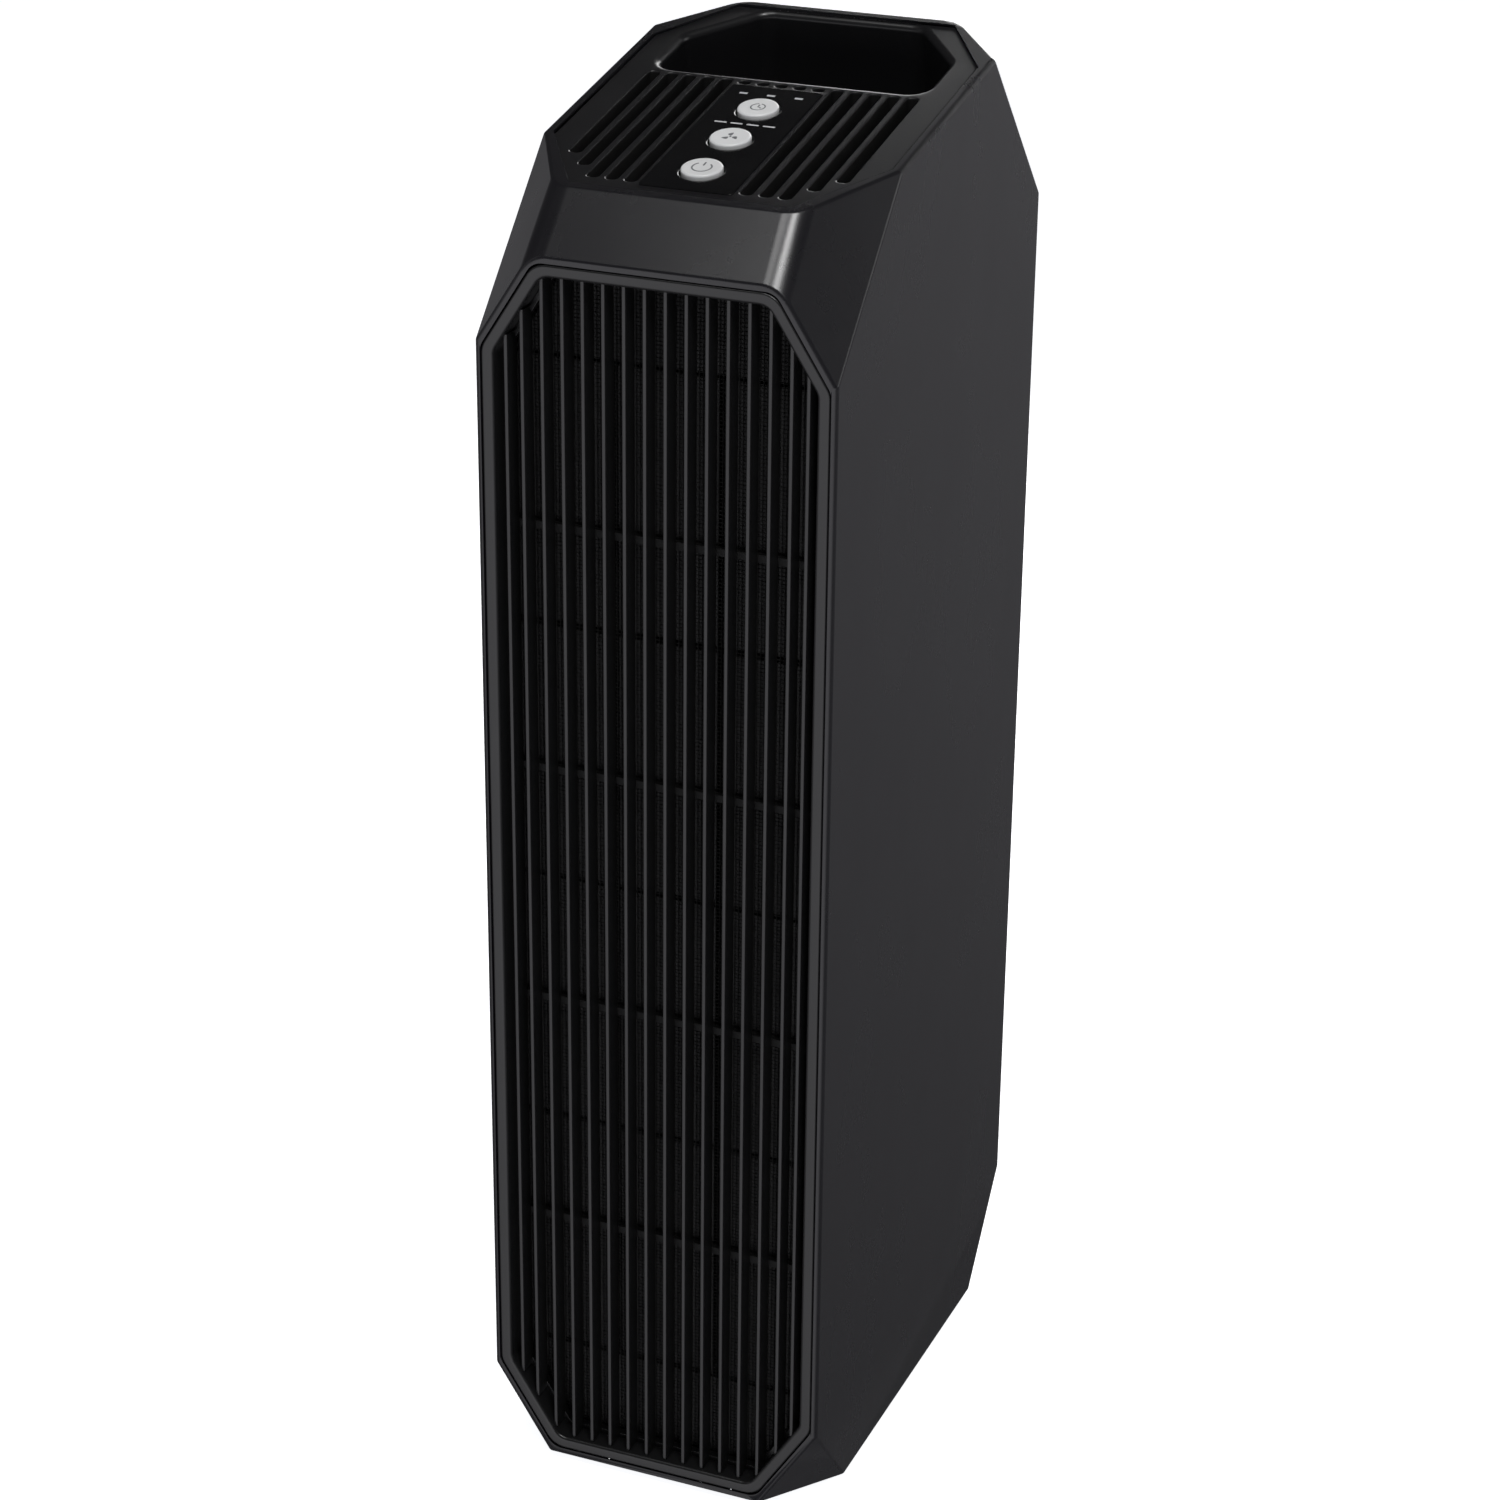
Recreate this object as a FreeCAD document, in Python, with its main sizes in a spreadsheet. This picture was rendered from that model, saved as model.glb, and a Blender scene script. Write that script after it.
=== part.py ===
import FreeCAD, Part
import math
import os
import Sketcher

# Tower air purifier, millimetres. Front faces -Y, width along X, floor at Z = 0.
# Depths are measured back from the front face, heights up from the floor.

doc = FreeCAD.newDocument("air_purifier")
sizes = doc.addObject("Spreadsheet::Sheet", "sizes")
vec = FreeCAD.Vector
row = 0
nodes = []


class Size:
    # a length that knows its number and the spreadsheet expression it comes from
    def __init__(self, num, text=None):
        self.num = float(num)
        self.text = text if text else repr(float(num))

    def __add__(self, other):
        other = toSize(other)
        return Size(self.num + other.num, "(%s + %s)" % (self.text, other.text))

    def __radd__(self, other):
        return toSize(other) + self

    def __sub__(self, other):
        other = toSize(other)
        return Size(self.num - other.num, "(%s - %s)" % (self.text, other.text))

    def __rsub__(self, other):
        return toSize(other) - self

    def __mul__(self, other):
        other = toSize(other)
        return Size(self.num * other.num, "(%s * %s)" % (self.text, other.text))

    def __rmul__(self, other):
        return toSize(other) * self

    def __truediv__(self, other):
        other = toSize(other)
        return Size(self.num / other.num, "(%s / %s)" % (self.text, other.text))

    def __rtruediv__(self, other):
        return toSize(other) / self

    def __neg__(self):
        return Size(-self.num, "(0 - %s)" % self.text)


def toSize(value):
    return value if isinstance(value, Size) else Size(value)


def root(value):
    return Size(math.sqrt(value.num), "sqrt(%s)" % value.text)


def slopeAngle(rise, run):
    ratio = rise / run
    return Size(math.degrees(math.atan(ratio.num)), "atan(%s)" % ratio.text)


def cell(name, value):
    global row
    row += 1
    sizes.set("A%d" % row, name)
    sizes.set("B%d" % row, str(value))
    sizes.setAlias("B%d" % row, name)
    return Size(value, "sizes." + name)


# body
bodyWidth = cell("bodyWidth", 136)
bodyDepth = cell("bodyDepth", 214)
bodyHeight = cell("bodyHeight", 543)
footHeight = cell("footHeight", 3)
shellWall = cell("shellWall", 2.2)
edgeRadius = cell("edgeRadius", 2)
browRadius = cell("browRadius", 14)
# facets, as drops below the top and setbacks from the front or the back
browDrop = cell("browDrop", 53)
browSetback = cell("browSetback", 18.3)
topFrontDrop = cell("topFrontDrop", 32.5)
rearSetback = cell("rearSetback", 30.8)
rearFacetDrop = cell("rearFacetDrop", 33.4)
frontShoulderDrop = cell("frontShoulderDrop", 87)
rearShoulderDrop = cell("rearShoulderDrop", 71)
lowerShoulder = cell("lowerShoulder", 39.5)
rearLowerShoulder = cell("rearLowerShoulder", 47)
cornerRise = cell("cornerRise", 1.56)
frontRake = cell("frontRake", 1.05)
rearRake = cell("rearRake", 1.08)
lowerRake = cell("lowerRake", 1.18)
rearLowerRake = cell("rearLowerRake", 1.28)
# front cover
coverGap = cell("coverGap", 0.35)
coverDepth = cell("coverDepth", 12)
bandWidth = cell("bandWidth", 4.7)
bandRadius = cell("bandRadius", 7)
finRecess = cell("finRecess", 2)
finThickness = cell("finThickness", 1.5)
edgeFinGap = cell("edgeFinGap", 3.9)
edgeFinStep = cell("edgeFinStep", 0.8)
innerFins = cell("innerFins", 14)
crossBars = cell("crossBars", 4)
finRim = cell("finRim", 2)
crossBar = cell("crossBar", 3)
barDepth = cell("barDepth", 2)
tongueWidth = cell("tongueWidth", 12)
tongueDrop = cell("tongueDrop", 1.5)
tongueThick = cell("tongueThick", 1.6)
tongueSetback = cell("tongueSetback", 1.2)
tongueOffset = cell("tongueOffset", 26)
tongueSide = cell("tongueSide", 1)
tongueFront = cell("tongueFront", 0.5)
tongueRear = cell("tongueRear", 1.9)
latchWidth = cell("latchWidth", 9)
latchThick = cell("latchThick", 1.8)
latchReach = cell("latchReach", 8)
latchGap = cell("latchGap", 0.5)
latchRise = cell("latchRise", 1.7)
latchOffset = cell("latchOffset", 24)
# prefilter, filter and tray
coverClear = cell("coverClear", 1)
meshThick = cell("meshThick", 0.8)
prefilterDepth = cell("prefilterDepth", 2.2)
prefilterBar = cell("prefilterBar", 2.4)
prefilterLap = cell("prefilterLap", 1)
prefilterRows = cell("prefilterRows", 5)
trayWall = cell("trayWall", 2)
trayGap = cell("trayGap", 6)
filterGap = cell("filterGap", 1)
filterDepth = cell("filterDepth", 36)
filterRim = cell("filterRim", 3)
pleatPitch = cell("pleatPitch", 7.7)
pleatSheet = cell("pleatSheet", 2.3)
carbonThick = cell("carbonThick", 3)
gasketDepth = cell("gasketDepth", 4)
gasketWidth = cell("gasketWidth", 6)
plenumDepth = cell("plenumDepth", 10)
tabWidth = cell("tabWidth", 16)
tabThick = cell("tabThick", 0.6)
tabLength = cell("tabLength", 26)
# blower
scrollGap = cell("scrollGap", 3)
scrollWall = cell("scrollWall", 2)
scrollGrowth = cell("scrollGrowth", 5)
scrollDepth = cell("scrollDepth", 54)
blowerHeight = cell("blowerHeight", 158)
outletRise = cell("outletRise", 98)
tongueReach = cell("tongueReach", 21)
wheelGap = cell("wheelGap", 8)
wheelEndGap = cell("wheelEndGap", 3)
bellWall = cell("bellWall", 1.6)
bellGap = cell("bellGap", 0.8)
hubHole = cell("hubHole", 5)
mouthDrop = cell("mouthDrop", 6)
ringWidth = cell("ringWidth", 7)
ringThick = cell("ringThick", 2)
bladeThick = cell("bladeThick", 1.2)
bladeLean = cell("bladeLean", 6)
bladeCount = cell("bladeCount", 32)
bladeInset = cell("bladeInset", 0.5)
hubRadius = cell("hubRadius", 9)
hubLength = cell("hubLength", 20)
shaftRadius = cell("shaftRadius", 4)
shaftTip = cell("shaftTip", 2)
shaftEnd = cell("shaftEnd", 3)
runningGap = cell("runningGap", 0.04)
bearingRadius = cell("bearingRadius", 11)
bearingWidth = cell("bearingWidth", 6)
motorRadius = cell("motorRadius", 30)
motorLength = cell("motorLength", 32)
mountHeight = cell("mountHeight", 4)
mountRadius = cell("mountRadius", 5)
mountCircle = cell("mountCircle", 36)
motorLug = cell("motorLug", 2.5)
lugRim = cell("lugRim", 1.2)
motorCap = cell("motorCap", 2)
motorScrewHead = cell("motorScrewHead", 2)
nutRadius = cell("nutRadius", 7)
nutLength = cell("nutLength", 5)
ductWall = cell("ductWall", 2)
ductDrop = cell("ductDrop", 55)
ductFront = cell("ductFront", 34)
ductRear = cell("ductRear", 116)
ductSide = cell("ductSide", 12)
ductFlange = cell("ductFlange", 3)
# top panel and controls, in the plane of the sloping top
topFlare = cell("topFlare", 1.62)
topFrontSide = cell("topFrontSide", 40)
topRearSide = cell("topRearSide", 37)
rimWidth = cell("rimWidth", 3.8)
panelGap = cell("panelGap", 0.3)
panelThick = cell("panelThick", 3)
panelRecess = cell("panelRecess", 0.8)
slotWidth = cell("slotWidth", 4.7)
slotBand = cell("slotBand", 11.5)
slotStart = cell("slotStart", 10.9)
slotStagger = cell("slotStagger", 8.6)
ridgeStart = cell("ridgeStart", 101.5)
ridgeDrop = cell("ridgeDrop", 14)
stubLength = cell("stubLength", 6)
stubGap = cell("stubGap", 1.5)
ridgeLip = cell("ridgeLip", 1.8)
slotFirst = cell("slotFirst", 3)
slotCount = cell("slotCount", 5)
pocketDepth = cell("pocketDepth", 45)
pocketWall = cell("pocketWall", 2.4)
pocketSide = cell("pocketSide", 13)
pocketRear = cell("pocketRear", 0.2)
cornerIn = cell("cornerIn", 21.5)
cornerUp = cell("cornerUp", 28)
ridgeRadius = cell("ridgeRadius", 2.3)
pocketRadius = cell("pocketRadius", 8)
ledgeWidth = cell("ledgeWidth", 3)
ledgeThick = cell("ledgeThick", 2)
stripGap = cell("stripGap", 1.7)
stripFront = cell("stripFront", 9)
stripThick = cell("stripThick", 1.5)
stripProud = cell("stripProud", 0.4)
buttonRadius = cell("buttonRadius", 7.5)
buttonGap = cell("buttonGap", 0.3)
buttonProud = cell("buttonProud", 1.3)
buttonFirst = cell("buttonFirst", 24.8)
buttonPitch = cell("buttonPitch", 25.8)
buttonFlange = cell("buttonFlange", 1.2)
flangeThick = cell("flangeThick", 1)
flangeGap = cell("flangeGap", 0.3)
plungerRadius = cell("plungerRadius", 2)
pressGap = cell("pressGap", 1.1)
boardDrop = cell("boardDrop", 10.4)
boardThick = cell("boardThick", 1.6)
switchSize = cell("switchSize", 6)
switchHeight = cell("switchHeight", 3)
moduleWide = cell("moduleWide", 18)
moduleLong = cell("moduleLong", 14)
moduleThick = cell("moduleThick", 3)
lensWide = cell("lensWide", 3)
lensDeep = cell("lensDeep", 1.2)
lensPitch = cell("lensPitch", 10.7)
lensAhead = cell("lensAhead", 12.4)
ledHeight = cell("ledHeight", 0.9)
postRadius = cell("postRadius", 2.4)
boardScrew = cell("boardScrew", 1.1)
boardScrewHead = cell("boardScrewHead", 1.5)
boardScrewBite = cell("boardScrewBite", 4)
postFront = cell("postFront", 3)
postRear = cell("postRear", 9)
boardSide = cell("boardSide", 1)
boardRear = cell("boardRear", 5)
# rear cover, base and power
rearLedge = cell("rearLedge", 8)
rearLedgeThick = cell("rearLedgeThick", 2.5)
screwRadius = cell("screwRadius", 1.5)
screwHead = cell("screwHead", 2.9)
headThick = cell("headThick", 1.2)
headGap = cell("headGap", 0.2)
crossReach = cell("crossReach", 3.2)
crossArm = cell("crossArm", 0.8)
crossSink = cell("crossSink", 0.6)
screwLow = cell("screwLow", 14)
screwHigh = cell("screwHigh", 24)
footRadius = cell("footRadius", 8)
stemRadius = cell("stemRadius", 2.5)
stemRise = cell("stemRise", 1)
footInset = cell("footInset", 18)
footEnd = cell("footEnd", 42)
baseSide = cell("baseSide", 34)
baseEnd = cell("baseEnd", 52)
baseLip = cell("baseLip", 5)
baseThick = cell("baseThick", 2)
ribFirst = cell("ribFirst", 18)
ribStep = cell("ribStep", 32)
ribThick = cell("ribThick", 1.6)
ribHeight = cell("ribHeight", 4)
inletWide = cell("inletWide", 17)
inletTall = cell("inletTall", 8.6)
inletDeep = cell("inletDeep", 12)
inletWall = cell("inletWall", 2)
inletFlange = cell("inletFlange", 2.5)
inletFlangeThick = cell("inletFlangeThick", 2)
pinEnd = cell("pinEnd", 2)
inletX = cell("inletX", 34)
inletHeight = cell("inletHeight", 74)
pinRadius = cell("pinRadius", 1.15)
pinPitch = cell("pinPitch", 8.6)
standoffLength = cell("standoffLength", 8)
powerBoardWide = cell("powerBoardWide", 84)
powerBoardTall = cell("powerBoardTall", 110)
powerBoardBase = cell("powerBoardBase", 300)
boardCorner = cell("boardCorner", 6)
powerScrewHead = cell("powerScrewHead", 2)
coilSize = cell("coilSize", 26)
coilTall = cell("coilTall", 20.8)
coilX = cell("coilX", -18)
coilRise = cell("coilRise", 77)
capRadius = cell("capRadius", 9)
capLength = cell("capLength", 22)
capX = cell("capX", 20)
capRise = cell("capRise", 33)

beyond = 1  # how far a cutting shape runs past the face that it opens

# places that follow from the sizes
half = bodyWidth / 2
front = -bodyDepth / 2
back = bodyDepth / 2
inner = half - shellWall
browTop = bodyHeight - browDrop
topFront = bodyHeight - topFrontDrop
rearTop = bodyHeight - rearFacetDrop
frontShoulder = bodyHeight - frontShoulderDrop
rearShoulder = bodyHeight - rearShoulderDrop
topRun = bodyDepth - browSetback - rearSetback
topLength = root(topRun * topRun + topFrontDrop * topFrontDrop)
topTilt = slopeAngle(topFrontDrop, topRun)
cornerScale = root(1 + cornerRise * cornerRise)
floorTop = footHeight + shellWall
coverInset = shellWall + coverGap
openingInset = coverInset + bandWidth
openingHalf = half - openingInset
finPitch = (openingHalf - edgeFinGap) / ((innerFins - 1) / 2 + edgeFinStep)
meshFront = coverDepth + coverClear
prefilterFront = meshFront + meshThick
trayFront = prefilterFront + prefilterDepth
filterFront = trayFront + trayWall
seatFront = filterFront + filterDepth + gasketDepth
partitionFront = seatFront + trayWall + plenumDepth
scrollFront = partitionFront + trayWall
scrollBack = scrollFront + scrollDepth
trayHalf = inner - trayGap
trayBase = lowerShoulder + trayGap
trayTop = frontShoulder - trayGap
scrollSpan = 2 * (inner - scrollGap)
radiusTwo = (scrollSpan - scrollGrowth) / 2
radiusThree = radiusTwo + scrollGrowth
radiusOne = radiusTwo - scrollGrowth
wheelX = radiusOne - scrollSpan / 2
wheelRadius = radiusOne - scrollWall - wheelGap
wheelFront = scrollFront + scrollWall + wheelEndGap
wheelBack = scrollBack - scrollWall - wheelEndGap
outletTop = blowerHeight + outletRise
outletLeft = wheelX + tongueReach
motorFront = scrollBack + mountHeight
ductTop = bodyHeight - ductDrop
slotPitch = (half - rimWidth - slotBand - slotWidth / 2) / (slotFirst + slotCount - 1)
stripHalf = slotFirst * slotPitch - slotWidth / 2 - stripGap
slotEnd = ridgeStart + pocketWall - ridgeLip
stripBack = ridgeStart - stubLength


def octagon(edge, inset, upper, lower, top, bottomInset=None):
    # face outline moved in by a constant inset, corner lines kept parallel
    inset = toSize(inset)
    low = footHeight + (inset if bottomInset is None else bottomInset)
    side = edge - inset
    shift = inset * cornerScale
    high = top - inset
    highHalf = edge + (upper - shift - high) / cornerRise
    lowHalf = edge - (lower + shift - low) / cornerRise
    highShoulder = upper + cornerRise * inset - shift
    lowShoulder = lower - cornerRise * inset + shift
    right = [(lowHalf, low), (side, lowShoulder), (side, highShoulder), (highHalf, high)]
    return right + [(-x, z) for x, z in reversed(right)]


def frontOutline(inset, bottomInset=None):
    return octagon(half, inset, frontShoulder, lowerShoulder, browTop, bottomInset)


def rearOutline(inset):
    return octagon(half, inset, rearShoulder, rearLowerShoulder, rearTop)


def rect(left, low, right, high):
    return [(left, low), (right, low), (right, high), (left, high)]


def centred(x, y, wide, tall):
    x, y = toSize(x), toSize(y)
    return rect(x - wide / 2, y - tall / 2, x + wide / 2, y + tall / 2)


def circle(x, y, radius):
    return ("circle", toSize(x), toSize(y), toSize(radius))


def hold(sketch, geo, pos, x, y):
    # ties one point to the sketch origin by its two distances
    for axis, value, line in (("DistanceX", toSize(x), -2), ("DistanceY", toSize(y), -1)):
        if abs(value.num) < 1e-9:
            sketch.addConstraint(Sketcher.Constraint("PointOnObject", geo, pos, line))
        else:
            index = sketch.addConstraint(Sketcher.Constraint(axis, -1, 1, geo, pos, value.num))
            sketch.setExpression("Constraints[%d]" % index, value.text)


def drawPolygon(sketch, points):
    start = sketch.GeometryCount
    count = len(points)
    corners = [vec(toSize(x).num, toSize(y).num, 0) for x, y in points]
    for i in range(count):
        sketch.addGeometry(Part.LineSegment(corners[i], corners[(i + 1) % count]), False)
    for i in range(count):
        following = start + (i + 1) % count
        sketch.addConstraint(Sketcher.Constraint("Coincident", start + i, 2, following, 1))
    for i, (x, y) in enumerate(points):
        hold(sketch, start + i, 1, x, y)


def drawCircle(sketch, x, y, radius):
    index = sketch.addGeometry(Part.Circle(vec(x.num, y.num, 0), vec(0, 0, 1), radius.num), False)
    hold(sketch, index, 3, x, y)
    size = sketch.addConstraint(Sketcher.Constraint("Radius", index, radius.num))
    sketch.setExpression("Constraints[%d]" % size, radius.text)


def originPlane(body, role):
    for item in body.Origin.OriginFeatures:
        if item.Role == role + "_Plane":
            return item


def newSketch(body, role, level, outlines, path=None):
    sketch = body.newObject("Sketcher::SketchObject", body.Name + "_sketch")
    sketch.AttachmentSupport = [(originPlane(body, role), "")]
    sketch.MapMode = "FlatFace"
    level = -toSize(level) if role == "XZ" else toSize(level)
    sketch.setExpression("AttachmentOffset.Base.z", level.text)
    for item in outlines:
        if item[0] == "circle":
            drawCircle(sketch, *item[1:])
        else:
            drawPolygon(sketch, item)
    if path:
        path(sketch)
    return sketch


def newBody(label, node=True):
    body = doc.addObject("PartDesign::Body", label)
    body.Label = label
    if node:
        nodes.append(body)
    return body


def add(body, role, low, high, outlines, path=None):
    # material between two levels along the plane's positive axis
    low, high = toSize(low), toSize(high)
    sketch = newSketch(body, role, high if role == "XZ" else low, outlines, path)
    pad = body.newObject("PartDesign::Pad", body.Name + "_pad")
    pad.Profile = sketch
    pad.Length = high.num - low.num
    pad.setExpression("Length", (high - low).text)
    return pad


def cut(body, role, low, high, outlines, path=None):
    # opening between two levels along the plane's positive axis
    low, high = toSize(low), toSize(high)
    sketch = newSketch(body, role, low if role == "XZ" else high, outlines, path)
    pocket = body.newObject("PartDesign::Pocket", body.Name + "_pocket")
    pocket.Profile = sketch
    pocket.Length = high.num - low.num
    pocket.setExpression("Length", (high - low).text)
    return pocket


def place(item, x=0, y=0, z=0):
    for axis, value in (("x", x), ("y", y), ("z", z)):
        item.setExpression("Placement.Base." + axis, toSize(value).text)


def tilt(item):
    # carries a piece drawn flat onto the sloping top
    item.Placement = FreeCAD.Placement(vec(0, 0, 0), FreeCAD.Rotation(vec(1, 0, 0), topTilt.num))
    item.setExpression("Placement.Rotation.Angle", topTilt.text)
    place(item, 0, front + browSetback, topFront)


def roundEdges(body, radius, wanted):
    # rounds the edges of the body's last feature that the test picks
    doc.recompute()
    base = body.Tip
    names = ["Edge%d" % (i + 1) for i, edge in enumerate(base.Shape.Edges) if wanted(edge)]
    fillet = body.newObject("PartDesign::Fillet", body.Name + "_fillet")
    fillet.Base = (base, names)
    fillet.setExpression("Radius", radius.text)
    return fillet


def runsAlong(axis, least=0.0):
    def test(edge):
        if edge.Curve.TypeId != "Part::GeomLine" or edge.Length < least:
            return False
        direction = (edge.Vertexes[1].Point - edge.Vertexes[0].Point).normalize()
        return abs(abs(direction.dot(axis)) - 1) < 1e-6
    return test


def joined(label, kind, parts, node=True):
    item = doc.addObject("Part::" + kind, label)
    item.Label = label
    if kind in ("Cut", "Common"):
        item.Base, item.Tool = parts
    else:
        item.Shapes = parts
    if node:
        nodes.append(item)
    return item


# outer form ---------------------------------------------------------------

def cornerPrism(label, points, level, run, rake):
    # slanted prism whose sloping sides cut a pair of corners
    sketch = doc.addObject("Sketcher::SketchObject", label + "_sketch")
    sketch.Placement = FreeCAD.Placement(vec(0, level.num, 0), FreeCAD.Rotation(vec(1, 0, 0), 90))
    sketch.setExpression("Placement.Base.y", level.text)
    drawPolygon(sketch, points)
    prism = doc.addObject("Part::Extrusion", label)
    prism.Base = sketch
    prism.DirMode = "Custom"
    prism.Solid = True
    prism.Dir = vec(0, run.num, (rake * run).num)
    prism.setExpression("Dir.y", run.text)
    prism.setExpression("Dir.z", (rake * run).text)
    return prism


def cornerSet(label, shoulder, level, run, rake, up):
    # a roof shaped outline, upright for the upper corners and hanging for the lower ones
    out = half + 10
    sign = 1 if up else -1
    eave = shoulder - sign * cornerRise * 10
    ridge = shoulder + sign * cornerRise * half
    far = shoulder - sign * (bodyHeight + bodyDepth * 3)
    points = [(-out, far), (-out, eave), (0, ridge), (out, eave), (out, far)]
    return cornerPrism(label, points, level, run, rake)


def outerBlank():
    profile = newBody("profile_blank", False)
    side = [(front, footHeight), (front, browTop), (front + browSetback, topFront)]
    side += [(back - rearSetback, bodyHeight), (back, rearTop), (back, footHeight)]
    add(profile, "YZ", -half, half, [side])
    upperFront = cornerSet("upper_front_corners", frontShoulder, front, bodyDepth, frontRake, True)
    upperRear = cornerSet("upper_rear_corners", rearShoulder, back, -bodyDepth, -rearRake, True)
    lowerFront = cornerSet("lower_front_corners", lowerShoulder, front, bodyDepth, -lowerRake, False)
    lowerRear = cornerSet("lower_rear_corners", rearLowerShoulder, back, -bodyDepth, rearLowerRake, False)
    parts = [profile, upperFront, upperRear, lowerFront, lowerRear]
    return joined("outer_blank", "MultiCommon", parts, False)


def browEdge(edge):
    # the four edges between the slanted end facets and the upper corners
    a, b = [vertex.Point for vertex in edge.Vertexes][:2]
    low, high = sorted((a, b), key=lambda point: point.z)
    onFront = abs(low.y - front.num) < 0.5 and abs(high.y - front.num - browSetback.num) < 0.5
    onRear = abs(low.y - back.num) < 0.5 and abs(high.y - back.num + rearSetback.num) < 0.5
    return (onFront or onRear) and abs(a.x) > 1 and abs(a.x) < half.num - 2 and abs(a.x - b.x) < 12


def softEdge(edge):
    # every other outer edge but the flat underside's
    a, b = [vertex.Point for vertex in edge.Vertexes][:2]
    return min(a.z, b.z) > footHeight.num + 0.1 or abs(a.z - b.z) > 1


def roundedBlank(blank):
    doc.recompute()
    brows = doc.addObject("Part::Fillet", "brow_rounding")
    brows.Base = blank
    edges = enumerate(blank.Shape.Edges)
    brows.Edges = [(i + 1, browRadius.num, browRadius.num) for i, edge in edges if browEdge(edge)]
    doc.recompute()
    return brows


def insideOf(blank):
    inside = doc.addObject("Part::Offset", "inside_blank")
    inside.Source = blank
    inside.setExpression("Value", (-shellWall).text)
    inside.Join = 2
    doc.recompute()
    return inside


def outerForm(blank):
    brows = roundedBlank(blank)
    form = doc.addObject("Part::Fillet", "outer_form")
    form.Base = brows
    edges = enumerate(brows.Shape.Edges)
    straight = "Part::GeomLine"
    picked = [i + 1 for i, edge in edges if edge.Curve.TypeId == straight and softEdge(edge)]
    form.Edges = [(i, edgeRadius.num, edgeRadius.num) for i in picked]
    doc.recompute()
    return form


def slab(label, role, low, high, outlines, rounding=None):
    body = newBody(label, False)
    add(body, role, low, high, outlines)
    if rounding:
        axis = {"XY": vec(0, 0, 1), "XZ": vec(0, 1, 0), "YZ": vec(1, 0, 0)}[role]
        roundEdges(body, rounding, runsAlong(axis))
    return body


def topOutline(inset, frontInset=None):
    # outline of the sloping top in its own plane, x across and y up the slope
    inset = toSize(inset)
    run = topRun / topLength
    frontEnd = toSize(inset if frontInset is None else frontInset)
    rearEnd = topLength - inset
    side = half - inset
    shift = inset * root(1 + topFlare * topFlare)
    frontHalf = half - (topFrontSide - frontEnd + shift) / topFlare
    rearHalf = half - (topRearSide - inset + shift) / topFlare
    frontSide = topFrontSide + shift - topFlare * inset
    rearSide = topLength - topRearSide - shift + topFlare * inset
    right = [(frontHalf, frontEnd), (side, frontSide), (side, rearSide), (rearHalf, rearEnd)]
    return right + [(-x, y) for x, y in reversed(right)]


def screwSpots():
    # six screws through the rear cover, mirrored left and right
    x = inner - rearLedge / 2
    low = rearLowerShoulder + screwLow
    high = rearShoulder - screwHigh
    return [(side * x, z) for side in (-1, 1) for z in (low, (low + high) / 2, high)]


def footSpots():
    x = half - footInset
    return [(side * x, y) for side in (-1, 1) for y in (front + footEnd, back - footEnd)]


# shell ---------------------------------------------------------------------

def bodyShell(form, inside):
    ledgeBack = back - shellWall
    ledgeFront = ledgeBack - rearLedgeThick
    slabBand = slab("ledge_band", "XZ", ledgeFront, ledgeBack, [rect(-half, 0, half, bodyHeight)])
    band = joined("ledge_fill", "Common", (inside, slabBand), False)
    well = slab("ledge_opening", "XZ", ledgeFront - beyond, back + beyond,
                [rearOutline(shellWall + rearLedge)])
    ledge = joined("ledge_ring", "Cut", (band, well), False)
    hollow = joined("shell_hollow", "Cut", (inside, ledge), False)
    walls = joined("shell_walls", "Cut", (form, hollow), False)
    mouth = slab("front_mouth", "XZ", front - beyond, front + shellWall + beyond,
                 [frontOutline(shellWall)], bandRadius)
    rearMouth = slab("rear_mouth", "XZ", ledgeBack, back + beyond, [rearOutline(shellWall)], bandRadius)
    topMouth = slab("top_mouth", "XY", -5 * shellWall, 2 * shellWall, [topOutline(rimWidth)], edgeRadius)
    tilt(topMouth)
    parts = [mouth, rearMouth, topMouth, well]
    floorHole = rect(-(half - baseSide), front + baseEnd, half - baseSide, back - baseEnd)
    parts.append(slab("floor_opening", "XY", 0, floorTop + beyond, [floorHole]))
    stems = [circle(x, y, stemRadius) for x, y in footSpots()]
    parts.append(slab("stem_holes", "XY", 0, floorTop + beyond, stems))
    parts.append(slab("rear_screw_holes", "XZ", ledgeFront - beyond, ledgeBack + beyond,
                      [circle(x, z, screwRadius) for x, z in screwSpots()]))
    reach = tongueWidth / 2 + tongueSide
    low = front + tongueSetback - tongueFront
    high = front + tongueSetback + tongueThick + tongueRear
    tongues = [rect(x - reach, low, x + reach, high) for x in (-tongueOffset, tongueOffset)]
    parts.append(slab("tongue_slots", "XY", footHeight - beyond, floorTop + beyond, tongues))
    openings = joined("shell_openings", "MultiFuse", parts, False)
    return joined("body_shell", "Cut", (walls, openings))


def rearCover():
    body = newBody("rear_cover")
    add(body, "XZ", back - shellWall, back, [rearOutline(coverInset)])
    roundEdges(body, bandRadius, runsAlong(vec(0, 1, 0)))
    under = back - shellWall - beyond
    cut(body, "XZ", under, back + beyond, [circle(x, z, screwRadius) for x, z in screwSpots()])
    heads = [circle(x, z, screwHead + headGap) for x, z in screwSpots()]
    cut(body, "XZ", back - headThick, back + beyond, heads)
    cut(body, "XZ", under, back + beyond,
        [centred(inletX, inletHeight, inletWide + 2 * inletWall, inletTall + 2 * inletWall)])
    boardBack = back - shellWall
    add(body, "XZ", boardBack - standoffLength, boardBack,
        [circle(x, z, postRadius) for x, z in powerSpots()])
    return body


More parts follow.
